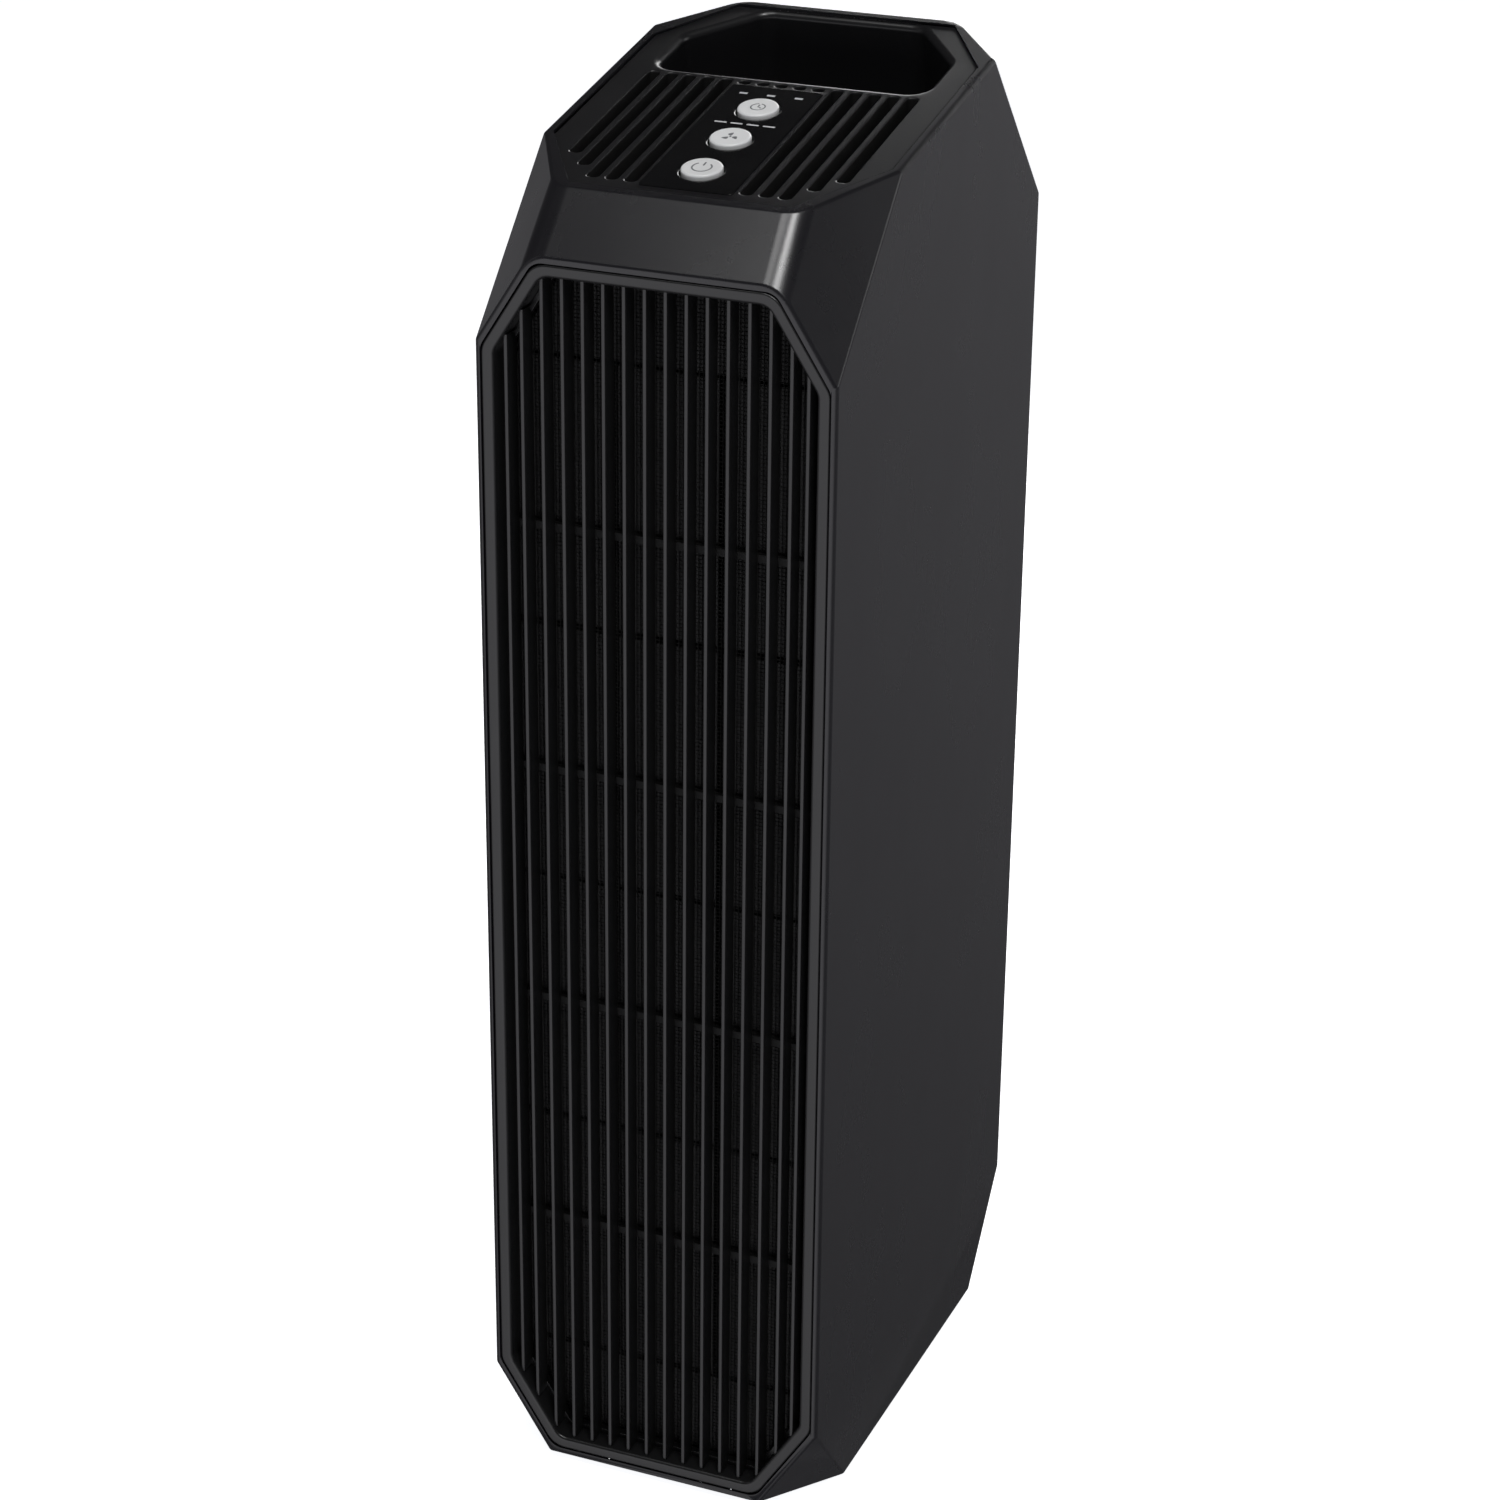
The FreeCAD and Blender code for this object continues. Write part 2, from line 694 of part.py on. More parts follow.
def rearScrews():
    body = newBody("rear_screws")
    tip = back - shellWall - rearLedgeThick
    add(body, "XZ", tip, back - headThick, [circle(x, z, screwRadius) for x, z in screwSpots()])
    body.AllowCompound = True
    add(body, "XZ", back - headThick, back, [circle(x, z, screwHead) for x, z in screwSpots()])
    cut(body, "XZ", back - crossSink, back + beyond, [crossShape(x, z) for x, z in screwSpots()])
    return body


def crossShape(x, z):
    r, a = crossReach / 2, crossArm / 2
    quarter = [(a, -r), (a, -a), (r, -a)]
    points = []
    for turn in range(4):
        points += quarter
        quarter = [(-pz, px) for px, pz in quarter]
    return [(x + px, z + pz) for px, pz in points]


def basePlate():
    body = newBody("base_plate")
    side = half - baseSide
    lip = rect(-side - baseLip, front + baseEnd - baseLip, side + baseLip, back - baseEnd + baseLip)
    plug = rect(-side + panelGap, front + baseEnd + panelGap, side - panelGap, back - baseEnd - panelGap)
    add(body, "XY", footHeight, floorTop, [plug])
    add(body, "XY", floorTop, floorTop + baseThick, [lip])
    places = [front + baseEnd + ribFirst + ribStep * k for k in range(3)]
    ribs = [rect(-side, y, side, y + ribThick) for y in places]
    add(body, "XY", floorTop + baseThick, floorTop + baseThick + ribHeight, ribs)
    return body


def footPads():
    body = newBody("foot_pads")
    body.AllowCompound = True
    add(body, "XY", 0, footHeight, [circle(x, y, footRadius) for x, y in footSpots()])
    add(body, "XY", footHeight, floorTop + stemRise, [circle(x, y, stemRadius) for x, y in footSpots()])
    return body


# front cover ---------------------------------------------------------------

def latchSpots():
    low = browTop - openingInset + latchRise
    return [rect(x - latchWidth / 2, low, x + latchWidth / 2, low + latchThick)
            for x in (-latchOffset, latchOffset)]


def frontFrame():
    body = newBody("front_frame")
    add(body, "XZ", front, front + coverDepth, [frontOutline(coverInset)])
    roundEdges(body, bandRadius, runsAlong(vec(0, 1, 0)))
    cut(body, "XZ", front - beyond, front + coverDepth + beyond, [frontOutline(openingInset)])
    add(body, "XZ", front + coverDepth - latchThick, front + coverDepth + latchReach, latchSpots())
    low = front + tongueSetback
    tongues = [rect(x - tongueWidth / 2, low, x + tongueWidth / 2, low + tongueThick)
               for x in (-tongueOffset, tongueOffset)]
    bottom = footHeight + coverInset
    add(body, "XY", bottom - tongueDrop, bottom + tongueThick, tongues)
    return body


def finPlaces():
    first = (innerFins - 1) / -2
    places = [(first + k) * finPitch for k in range(int(innerFins.num))]
    edge = openingHalf - edgeFinGap
    return [-edge] + places + [edge]


def frontFins():
    # upright fins tied together by cross bars and a thin rim at the back
    rows = newBody("fin_rows", False)
    rows.AllowCompound = True
    barFront = front + coverDepth - barDepth
    fins = [rect(x - finThickness / 2, 0, x + finThickness / 2, browTop) for x in finPlaces()]
    add(rows, "XZ", front + finRecess, barFront, fins)
    bars = newBody("fin_bars", False)
    bars.AllowCompound = True
    step = (browTop - openingInset * 2) / (crossBars + 1)
    heights = [openingInset + step * (k + 1) for k in range(int(crossBars.num))]
    spans = [rect(-half, z - crossBar / 2, half, z + crossBar / 2) for z in heights]
    add(bars, "XZ", barFront - beyond, front + coverDepth, spans)
    lattice = joined("fin_lattice", "MultiFuse", [rows, bars], False)
    clip = slab("opening_prism", "XZ", front, front + coverDepth, [frontOutline(openingInset)])
    blades = joined("fin_blades", "Common", (lattice, clip), False)
    rim = newBody("fin_rim", False)
    add(rim, "XZ", barFront, front + coverDepth, [frontOutline(openingInset)])
    cut(rim, "XZ", barFront - beyond, front + coverDepth + beyond, [frontOutline(openingInset + finRim)])
    return joined("front_fins", "MultiFuse", [blades, rim])


# prefilter, filter and tray --------------------------------------------------

def prefilterOutline(inset):
    return frontOutline(openingInset - prefilterLap + inset)


def prefilterMesh():
    body = newBody("prefilter_mesh")
    add(body, "XZ", front + meshFront, front + prefilterFront, [prefilterOutline(0)])
    return body


def prefilterFrame():
    body = newBody("prefilter_frame")
    low, high = front + prefilterFront, front + trayFront
    add(body, "XZ", low, high, [prefilterOutline(0)])
    cut(body, "XZ", low - beyond, high + beyond, [prefilterOutline(prefilterBar * 1.5)])
    reach = openingHalf
    span = (trayTop - trayBase) / (prefilterRows - 1)
    levels = [trayBase + span * k for k in range(int(prefilterRows.num))]
    bars = [rect(-reach, z, reach, z + prefilterBar) for z in levels]
    add(body, "XZ", low, high, bars)
    places = (reach / -3, reach / 3)
    posts = [rect(x - prefilterBar / 2, trayBase, x + prefilterBar / 2, trayTop) for x in places]
    add(body, "XZ", low, high, posts)
    return body


def filterTray(inside):
    low, high = front + trayFront, front + filterFront
    flat = slab("tray_flange_band", "XZ", low, high, [rect(-half, 0, half, browTop)])
    flange = joined("tray_flange", "Common", (inside, flat), False)
    tub = newBody("tray_tub", False)
    deep = front + scrollFront
    add(tub, "XZ", low, deep, [rect(-trayHalf, trayBase, trayHalf, trayTop)])
    solid = joined("tray_solid", "MultiFuse", [flange, tub], False)
    bay = rect(-trayHalf + trayWall, trayBase + trayWall, trayHalf - trayWall, trayTop - trayWall)
    room = slab("tray_bay", "XZ", low - beyond, front + seatFront, [bay])
    seat = gasketWidth + trayWall
    window = rect(-trayHalf + seat, trayBase + seat, trayHalf - seat, trayTop - seat)
    plenum = slab("tray_window", "XZ", front + seatFront - beyond, front + partitionFront, [window])
    inletHole = slab("tray_inlet", "XZ", front + partitionFront - beyond, front + scrollFront + beyond,
                     [circle(wheelX, blowerHeight, inletRadius)])
    holes = slab("tray_latch_slots", "XZ", low - beyond, high + beyond, latchSlots())
    taken = joined("tray_openings", "MultiFuse", [room, plenum, inletHole, holes], False)
    return joined("filter_tray", "Cut", (solid, taken))


def latchSlots():
    slots = []
    for (left, bottom), _, (right, top), _ in latchSpots():
        slots.append(rect(left - latchGap, bottom - latchGap, right + latchGap, top + latchGap))
    return slots


filterHalf = trayHalf - trayWall - filterGap
filterBase = trayBase + trayWall + filterGap
filterTop = trayTop - trayWall - filterGap
filterEnd = front + filterFront + filterDepth
inletRadius = wheelRadius - ringWidth - bellGap


def filterFrame():
    body = newBody("filter_frame")
    low = front + filterFront
    add(body, "XZ", low, filterEnd, [rect(-filterHalf, filterBase, filterHalf, filterTop)])
    rim = filterRim
    hole = rect(-filterHalf + rim, filterBase + rim, filterHalf - rim, filterTop - rim)
    cut(body, "XZ", low - beyond, filterEnd + beyond, [hole])
    return body


def filterPleats():
    # one folded sheet, drawn as a zigzag and carried up the frame
    body = newBody("filter_pleats")
    low = front + filterFront + carbonThick
    high = filterEnd
    width = 2 * (filterHalf - filterRim)
    folds = 2 * int(width.num / pleatPitch.num / 2 + 0.5)
    step = width / folds
    near, far = [], []
    for k in range(folds + 1):
        x = -filterHalf + filterRim + step * k
        near.append((x, low if k % 2 else high - pleatSheet))
        far.append((x, low + pleatSheet if k % 2 else high))
    points = near + list(reversed(far))
    add(body, "XY", filterBase + filterRim, filterTop - filterRim, [points])
    return body


def simpleBox(label, role, low, high, outline):
    body = newBody(label)
    add(body, role, low, high, [outline])
    return body


def carbonSheet():
    rim = filterRim
    outline = rect(-filterHalf + rim, filterBase + rim, filterHalf - rim, filterTop - rim)
    low = front + filterFront
    return simpleBox("carbon_sheet", "XZ", low, low + carbonThick, outline)


def filterGasket():
    body = newBody("filter_gasket")
    low = filterEnd
    add(body, "XZ", low, front + seatFront, [rect(-filterHalf, filterBase, filterHalf, filterTop)])
    width = gasketWidth
    hole = rect(-filterHalf + width, filterBase + width, filterHalf - width, filterTop - width)
    cut(body, "XZ", low - beyond, front + seatFront + beyond, [hole])
    return body


def filterTab():
    middle = (filterBase + filterTop) / 2
    low = front + filterFront - tabThick
    outline = rect(filterHalf - tabLength, middle - tabWidth / 2, filterHalf, middle + tabWidth / 2)
    return simpleBox("filter_tab", "XZ", low, front + filterFront, outline)


# blower ----------------------------------------------------------------------

def scrollPath(shrink):
    # spiral of three quarter turns that opens upward on the right
    shrink = toSize(shrink)
    one, two, three = radiusOne - shrink, radiusTwo - shrink, radiusThree - shrink
    left = outletLeft + shrink
    top = outletTop
    right = wheelX + scrollGrowth + three
    reach = left - wheelX
    lip = root(one * one - reach * reach)
    cx2, cz3 = wheelX + scrollGrowth, blowerHeight + scrollGrowth
    corners = [(left, blowerHeight + lip), (wheelX - one, blowerHeight), (cx2, blowerHeight - two),
               (right, cz3), (right, top), (left, top)]
    centres = [(wheelX, blowerHeight, one), (cx2, blowerHeight, two), (cx2, cz3, three)]

    def draw(sketch):
        start = sketch.GeometryCount
        points = [vec(toSize(x).num, toSize(z).num, 0) for x, z in corners]
        for i, (cx, cz, radius) in enumerate(centres):
            middle = vec(toSize(cx).num, toSize(cz).num, 0)
            begin = math.atan2(points[i].y - middle.y, points[i].x - middle.x)
            end = math.atan2(points[i + 1].y - middle.y, points[i + 1].x - middle.x)
            arc = Part.ArcOfCircle(Part.Circle(middle, vec(0, 0, 1), radius.num), begin, end)
            sketch.addGeometry(arc, False)
        for i in (3, 4, 5):
            sketch.addGeometry(Part.LineSegment(points[i], points[(i + 1) % 6]), False)
        for i in range(6):
            sketch.addConstraint(Sketcher.Constraint("Coincident", start + i, 2, start + (i + 1) % 6, 1))
        for i, (x, z) in enumerate(corners):
            hold(sketch, start + i, 1, x, z)
        for i, (cx, cz, radius) in enumerate(centres):
            index = sketch.addConstraint(Sketcher.Constraint("Radius", start + i, radius.num))
            sketch.setExpression("Constraints[%d]" % index, radius.text)
    return draw


def scrollCover():
    body = newBody("scroll_cover")
    low = front + scrollFront
    add(body, "XZ", low, low + scrollWall, [], scrollPath(0))
    lipBack = low + scrollWall + wheelEndGap - bellGap
    add(body, "XZ", low + scrollWall, lipBack, [circle(wheelX, blowerHeight, inletRadius + bellWall)])
    cut(body, "XZ", low - beyond, lipBack + beyond, [circle(wheelX, blowerHeight, inletRadius)])
    return body


def scrollHousing():
    body = newBody("scroll_housing")
    low = front + scrollFront + scrollWall
    high = front + scrollBack
    add(body, "XZ", low, high, [], scrollPath(0))
    cut(body, "XZ", low - beyond, high - scrollWall, [], scrollPath(scrollWall))
    right = wheelX + scrollGrowth + radiusThree - scrollWall
    mouth = rect(outletLeft + scrollWall, low, right, high - scrollWall)
    cut(body, "XY", outletTop - mouthDrop, outletTop + beyond, [mouth])
    hole = circle(wheelX, blowerHeight, hubRadius + hubHole)
    cut(body, "XZ", high - scrollWall - beyond, high + beyond, [hole])
    return body


def bladeOutline():
    inside = wheelRadius - ringWidth + bladeInset
    outside = wheelRadius - bladeInset
    return [(inside, 0), (outside, bladeLean), (outside, bladeLean + bladeThick), (inside, bladeThick)]


def atWheel(body):
    place(body, wheelX, 0, blowerHeight)
    return body


def blowerWheel():
    body = newBody("blower_wheel")
    low, high = front + wheelFront, front + wheelBack
    add(body, "XZ", high - ringThick, high, [circle(0, 0, wheelRadius)])
    add(body, "XZ", high - hubLength, high - ringThick, [circle(0, 0, hubRadius)])
    doc.recompute()
    blade = add(body, "XZ", low, high - ringThick, [bladeOutline()])
    pattern = body.newObject("PartDesign::PolarPattern", "blade_pattern")
    pattern.Originals = [blade]
    pattern.Axis = (blade.Profile[0], ["N_Axis"])
    pattern.Angle = 360
    pattern.Occurrences = int(bladeCount.num)
    pattern.setExpression("Occurrences", bladeCount.text)
    body.Tip = pattern
    doc.recompute()
    add(body, "XZ", low, low + ringThick,
        [circle(0, 0, wheelRadius), circle(0, 0, wheelRadius - ringWidth)])
    cut(body, "XZ", low, high + beyond, [circle(0, 0, shaftRadius)])
    return atWheel(body)


def motorShaft():
    body = newBody("motor_shaft")
    low = front + wheelBack - hubLength - nutLength - shaftTip
    high = front + motorFront + motorLength - shaftEnd
    add(body, "XZ", low, high, [circle(0, 0, shaftRadius)])
    return atWheel(body)


def wheelNut():
    body = newBody("wheel_nut")
    high = front + wheelBack - hubLength
    points = []
    for k in range(6):
        turn = math.radians(60 * k)
        points.append((nutRadius * round(math.cos(turn), 6), nutRadius * round(math.sin(turn), 6)))
    add(body, "XZ", high - nutLength, high, [points])
    cut(body, "XZ", high - nutLength - beyond, high + beyond, [circle(0, 0, shaftRadius)])
    return atWheel(body)


def mountSpots(turn=90):
    spots = []
    for k in range(3):
        angle = math.radians(turn + 120 * k)
        spots.append((mountCircle * round(math.cos(angle), 6), mountCircle * round(math.sin(angle), 6)))
    return spots


def motorBody():
    body = newBody("motor_body")
    low, high = front + motorFront, front + motorFront + motorLength
    add(body, "XZ", low, high, [circle(0, 0, motorRadius)])
    roundEdges(body, toSize(edgeRadius), lambda edge: abs(edge.CenterOfMass.y - high.num) < 0.01)
    lugs = [circle(x, z, mountRadius + lugRim) for x, z in mountSpots()]
    add(body, "XZ", low, low + motorLug, [circle(0, 0, mountCircle)])
    add(body, "XZ", low, low + motorLug, lugs)
    cut(body, "XZ", low - beyond, low + motorLug + beyond,
        [circle(x, z, screwRadius) for x, z in mountSpots()])
    cut(body, "XZ", low - beyond, high - motorCap, [circle(0, 0, bearingRadius)])
    return atWheel(body)


def motorBearings():
    body = newBody("motor_bearings")
    body.AllowCompound = True
    near = front + motorFront + motorCap / 2
    far = front + motorFront + motorLength - motorCap - bearingWidth
    ring = [circle(0, 0, bearingRadius), circle(0, 0, shaftRadius + runningGap)]
    add(body, "XZ", near, near + bearingWidth, ring)
    doc.recompute()
    add(body, "XZ", far, far + bearingWidth, ring)
    return atWheel(body)


def motorMounts():
    body = newBody("motor_mounts")
    body.AllowCompound = True
    low = front + scrollBack
    add(body, "XZ", low, front + motorFront, [circle(x, z, mountRadius) for x, z in mountSpots()])
    cut(body, "XZ", low - beyond, front + motorFront + beyond,
        [circle(x, z, screwRadius) for x, z in mountSpots()])
    return atWheel(body)


def motorScrews():
    body = newBody("motor_screws")
    body.AllowCompound = True
    low = front + scrollBack
    high = front + motorFront + motorLug
    add(body, "XZ", low, high, [circle(x, z, screwRadius) for x, z in mountSpots()])
    add(body, "XZ", high, high + motorScrewHead, [circle(x, z, screwHead) for x, z in mountSpots()])
    return atWheel(body)


def outletDuct():
    # rises behind the filter bay, then opens out over it under the slots
    right = wheelX + scrollGrowth + radiusThree
    wide = inner - ductSide
    sections = [(outletTop, rect(outletLeft, front + scrollFront, right, front + scrollBack)),
                (trayTop + trayGap, rect(-wide, front + scrollFront, wide, front + scrollBack)),
                (ductTop, rect(-wide, front + ductFront, wide, front + ductRear))]
    body = newBody("outlet_duct")
    lofted(body, sections, 0, "Additive")
    flange = rect(-inner, front + ductFront - ductFlange, inner, front + ductRear + ductFlange)
    add(body, "XY", ductTop - ductWall, ductTop, [flange])
    lofted(body, sections, ductWall, "Subtractive")
    return body


def insetRect(points, inset):
    (left, low), (right, high) = points[0], points[2]
    return rect(left + inset, low + inset, right - inset, high - inset)


def lofted(body, sections, inset, kind):
    drawn = [newSketch(body, "XY", level, [insetRect(outline, inset)]) for level, outline in sections]
    loft = body.newObject("PartDesign::%sLoft" % kind, body.Name + "_loft")
    loft.Profile = drawn[0]
    loft.Sections = drawn[1:]
    loft.Ruled = True
    return loft


# top panel and controls --------------------------------------------------------

def buttonSpots():
    return [buttonFirst + buttonPitch * k for k in range(3)]


lensY = buttonFirst + 2 * buttonPitch + lensAhead
panelTop = -panelRecess
panelUnder = panelTop - panelThick
stripTop = panelTop + stripProud
stripUnder = stripTop - stripThick
boardTop = panelTop - boardDrop
boardUnder = boardTop - boardThick


def postSpots():
    x = stripHalf - postRadius
    return [(side * x, y) for side in (-1, 1) for y in (stripFront + postFront, ridgeStart - postRear)]


def slotOutlines():
    # five long slots on each side, the outer ones start further back along the corner
    first, count = int(slotFirst.num), int(slotCount.num)
    straight = first + 2
    slots = []
    for k in range(first, first + count):
        start = slotStart + slotStagger * max(0, k - straight)
        for side in (-1, 1):
            x = side * slotPitch * k
            slots.append(rect(x - slotWidth / 2, start, x + slotWidth / 2, slotEnd))
    for k in range(1 - first, first):
        x = slotPitch * k
        slots.append(rect(x - slotWidth / 2, stripBack + stubGap, x + slotWidth / 2, slotEnd))
    return slots


def pocketOutline(inset):
    inset = toSize(inset)
    side = half - pocketSide - inset
    low = ridgeStart + inset
    high = topLength - pocketRear - rimWidth - panelGap - inset
    right = [(side, low), (side, high - cornerUp), (side - cornerIn, high)]
    return right + [(-x, y) for x, y in reversed(right)]


def topPanel():
    body = newBody("top_panel")
    add(body, "XY", panelUnder, panelTop, [topOutline(rimWidth + panelGap)])
    roundEdges(body, edgeRadius, runsAlong(vec(0, 0, 1)))
    add(body, "XY", panelTop - pocketDepth - pocketWall, panelUnder, [pocketOutline(0)])
    roundEdges(body, pocketRadius, runsAlong(vec(0, 0, 1), 20))
    cut(body, "XY", panelTop - pocketDepth, panelTop + beyond, [pocketOutline(pocketWall)])
    ridge = (ridgeStart + pocketWall).num
    roundEdges(body, ridgeRadius, lambda edge: runsAlong(vec(1, 0, 0), 60)(edge)
               and abs(edge.CenterOfMass.y - ridge) < 0.05 and abs(edge.CenterOfMass.z - panelTop.num) < 0.05)
    cut(body, "XY", panelTop - ridgeDrop, panelTop + beyond, slotOutlines())
    cut(body, "XY", stripUnder, panelTop + beyond,
        [rect(-stripHalf, stripFront, stripHalf, stripBack)])
    cut(body, "XY", panelUnder - beyond, stripUnder + beyond, controlHoles())
    posts = [circle(x, y, postRadius) for x, y in postSpots()]
    add(body, "XY", boardTop, panelUnder, posts)
    cut(body, "XY", boardTop - beyond, boardTop + boardScrewBite + beyond,
        [circle(x, y, boardScrew) for x, y in postSpots()])
    return body


def lensOutlines():
    return [centred(lensPitch * k, lensY, lensWide, lensDeep) for k in (-1, 0, 1)]


def controlHoles():
    return [circle(0, y, buttonRadius + buttonGap) for y in buttonSpots()] + lensOutlines()


def controlStrip():
    body = newBody("control_strip")
    add(body, "XY", stripUnder, stripTop, [rect(-stripHalf, stripFront, stripHalf, stripBack)])
    cut(body, "XY", stripUnder - beyond, stripTop + beyond, controlHoles())
    return body


def pushButton(label, y):
    body = newBody(label)
    cap = panelUnder - flangeGap
    add(body, "XY", cap, stripTop + buttonProud, [circle(0, y, buttonRadius)])
    top = (stripTop + buttonProud).num
    roundEdges(body, toSize(flangeThick) * 0.8, lambda edge: abs(edge.CenterOfMass.z - top) < 0.01)
    add(body, "XY", cap - flangeThick, cap, [circle(0, y, buttonRadius + buttonFlange)])
    add(body, "XY", boardTop + switchHeight + pressGap, cap - flangeThick, [circle(0, y, plungerRadius)])
    return body


def controlBoard():
    body = newBody("control_board")
    side = stripHalf + boardSide
    outline = rect(-side, stripFront - boardSide, side, ridgeStart - boardRear)
    holes = [circle(x, y, boardScrew) for x, y in postSpots()]
    add(body, "XY", boardUnder, boardTop, [outline])
    cut(body, "XY", boardUnder - beyond, boardTop + beyond, holes)
    return body


def boardScrews():
    body = newBody("board_screws")
    body.AllowCompound = True
    shanks = [circle(x, y, boardScrew) for x, y in postSpots()]
    heads = [circle(x, y, postRadius) for x, y in postSpots()]
    add(body, "XY", boardUnder, boardTop + boardScrewBite, shanks)
    add(body, "XY", boardUnder - boardScrewHead, boardUnder, heads)
    return body


def tactSwitches():
    body = newBody("tact_switches")
    body.AllowCompound = True
    add(body, "XY", boardTop, boardTop + switchHeight,
        [centred(0, y, switchSize, switchSize) for y in buttonSpots()])
    return body


def indicatorLens():
    body = newBody("indicator_lens")
    body.AllowCompound = True
    add(body, "XY", boardTop + ledHeight, stripTop, lensOutlines())
    return body


def indicatorLeds():
    body = newBody("indicator_leds")
    body.AllowCompound = True
    add(body, "XY", boardTop, boardTop + ledHeight, lensOutlines())
    return body


def wirelessModule():
    body = newBody("wireless_module")
    y = buttonFirst + buttonPitch / 2
    add(body, "XY", boardUnder - moduleThick, boardUnder, [centred(0, y, moduleWide, moduleLong)])
    return body


# power -----------------------------------------------------------------------

def powerSpots():
    x = powerBoardWide / 2 - boardCorner
    low, high = powerBoardBase + boardCorner, powerBoardBase + powerBoardTall - boardCorner
    return [(side * x, z) for side in (-1, 1) for z in (low, high)]


boardBackY = back - shellWall - standoffLength
boardFrontY = boardBackY - boardThick


def powerBoard():
    body = newBody("power_board")
    x = powerBoardWide / 2
    outline = rect(-x, powerBoardBase, x, powerBoardBase + powerBoardTall)
    add(body, "XZ", boardFrontY, boardBackY, [outline])
    return body


def powerScrews():
    body = newBody("power_screws")
    body.AllowCompound = True
    add(body, "XZ", boardFrontY - powerScrewHead, boardFrontY,
        [circle(x, z, postRadius) for x, z in powerSpots()])
    return body


def mainsCoil():
    body = newBody("mains_coil")
    add(body, "XZ", boardFrontY - coilTall, boardFrontY,
        [centred(coilX, powerBoardBase + coilRise, coilSize, coilSize)])
    return body


def bulkCapacitor():
    body = newBody("bulk_capacitor")
    add(body, "XZ", boardFrontY - capLength, boardFrontY,
        [circle(capX, powerBoardBase + capRise, capRadius)])
    return body


def powerInlet():
    body = newBody("power_inlet")
    wide, tall = inletWide + 2 * inletWall, inletTall + 2 * inletWall
    deep = inletDeep + inletWall
    add(body, "XZ", back - deep, back, [centred(inletX, inletHeight, wide, tall)])
    lip = [centred(inletX, inletHeight, wide + 2 * inletFlange, tall + 2 * inletFlange)]
    add(body, "XZ", back - shellWall - inletFlangeThick, back - shellWall, lip)
    cut(body, "XZ", back - inletDeep, back + beyond, [centred(inletX, inletHeight, inletWide, inletTall)])
    return body


def inletPins():
    body = newBody("inlet_pins")
    body.AllowCompound = True
    pins = [circle(inletX + side * pinPitch / 2, inletHeight, pinRadius) for side in (-1, 1)]
    add(body, "XZ", back - inletDeep, back - pinEnd, pins)
    return body


# build -------------------------------------------------------------------------

doc.recompute()
blank = outerBlank()
doc.recompute()
form = outerForm(blank)
inside = insideOf(blank)
bodyShell(form, inside)
rearCover()
rearScrews()
basePlate()
footPads()
frontFrame()
frontFins()
prefilterMesh()
prefilterFrame()
filterTray(inside)
filterFrame()
filterPleats()
carbonSheet()
filterGasket()
filterTab()
scrollCover()
scrollHousing()
blowerWheel()
motorShaft()
wheelNut()
motorBody()
motorBearings()
motorMounts()
motorScrews()
outletDuct()
tilt(topPanel())
tilt(controlStrip())
for label, y in zip(("power_button", "speed_button", "timer_button"), buttonSpots()):
    tilt(pushButton(label, y))
tilt(controlBoard())
tilt(boardScrews())
tilt(tactSwitches())
tilt(indicatorLens())
tilt(indicatorLeds())
tilt(wirelessModule())
powerBoard()
powerScrews()
mainsCoil()
bulkCapacitor()
powerInlet()
inletPins()
doc.recompute()

os.makedirs("parts", exist_ok=True)
faulty = [item.Label for item in doc.Objects if "Invalid" in item.State or "Error" in item.State]
faulty += [item.Label for item in nodes if item.Shape.isNull() or not item.Shape.isValid()]
if faulty:
    raise RuntimeError("not built: " + ", ".join(faulty))
for item in nodes:
    item.Shape.exportStep("parts/%s.step" % item.Label)
    box = item.Shape.BoundBox
    print("%-18s %2d solids %9.0f mm3  X %.1f %.1f  Y %.1f %.1f  Z %.1f %.1f" % (
        item.Label, len(item.Shape.Solids), item.Shape.Volume,
        box.XMin, box.XMax, box.YMin, box.YMax, box.ZMin, box.ZMax))
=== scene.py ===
import math

import bmesh
import bpy
from mathutils import Matrix, Vector


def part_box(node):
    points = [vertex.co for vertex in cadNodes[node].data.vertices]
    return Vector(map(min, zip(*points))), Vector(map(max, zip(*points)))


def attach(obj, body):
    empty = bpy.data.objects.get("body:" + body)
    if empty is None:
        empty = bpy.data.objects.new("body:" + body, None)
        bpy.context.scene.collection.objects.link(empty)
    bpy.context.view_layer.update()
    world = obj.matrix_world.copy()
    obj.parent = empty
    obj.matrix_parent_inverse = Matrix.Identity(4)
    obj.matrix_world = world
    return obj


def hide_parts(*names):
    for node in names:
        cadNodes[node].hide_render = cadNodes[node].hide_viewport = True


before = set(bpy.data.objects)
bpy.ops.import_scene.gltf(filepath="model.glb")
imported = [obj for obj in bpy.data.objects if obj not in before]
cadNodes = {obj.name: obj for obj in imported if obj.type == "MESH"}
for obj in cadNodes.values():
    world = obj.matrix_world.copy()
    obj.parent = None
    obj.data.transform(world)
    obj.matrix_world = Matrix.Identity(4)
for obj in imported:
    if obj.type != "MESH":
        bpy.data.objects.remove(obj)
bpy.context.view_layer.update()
mm = 0.001
acrossAxis = Vector((1, 0, 0))


def centreOf(node):
    low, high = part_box(node)
    return (low + high) / 2


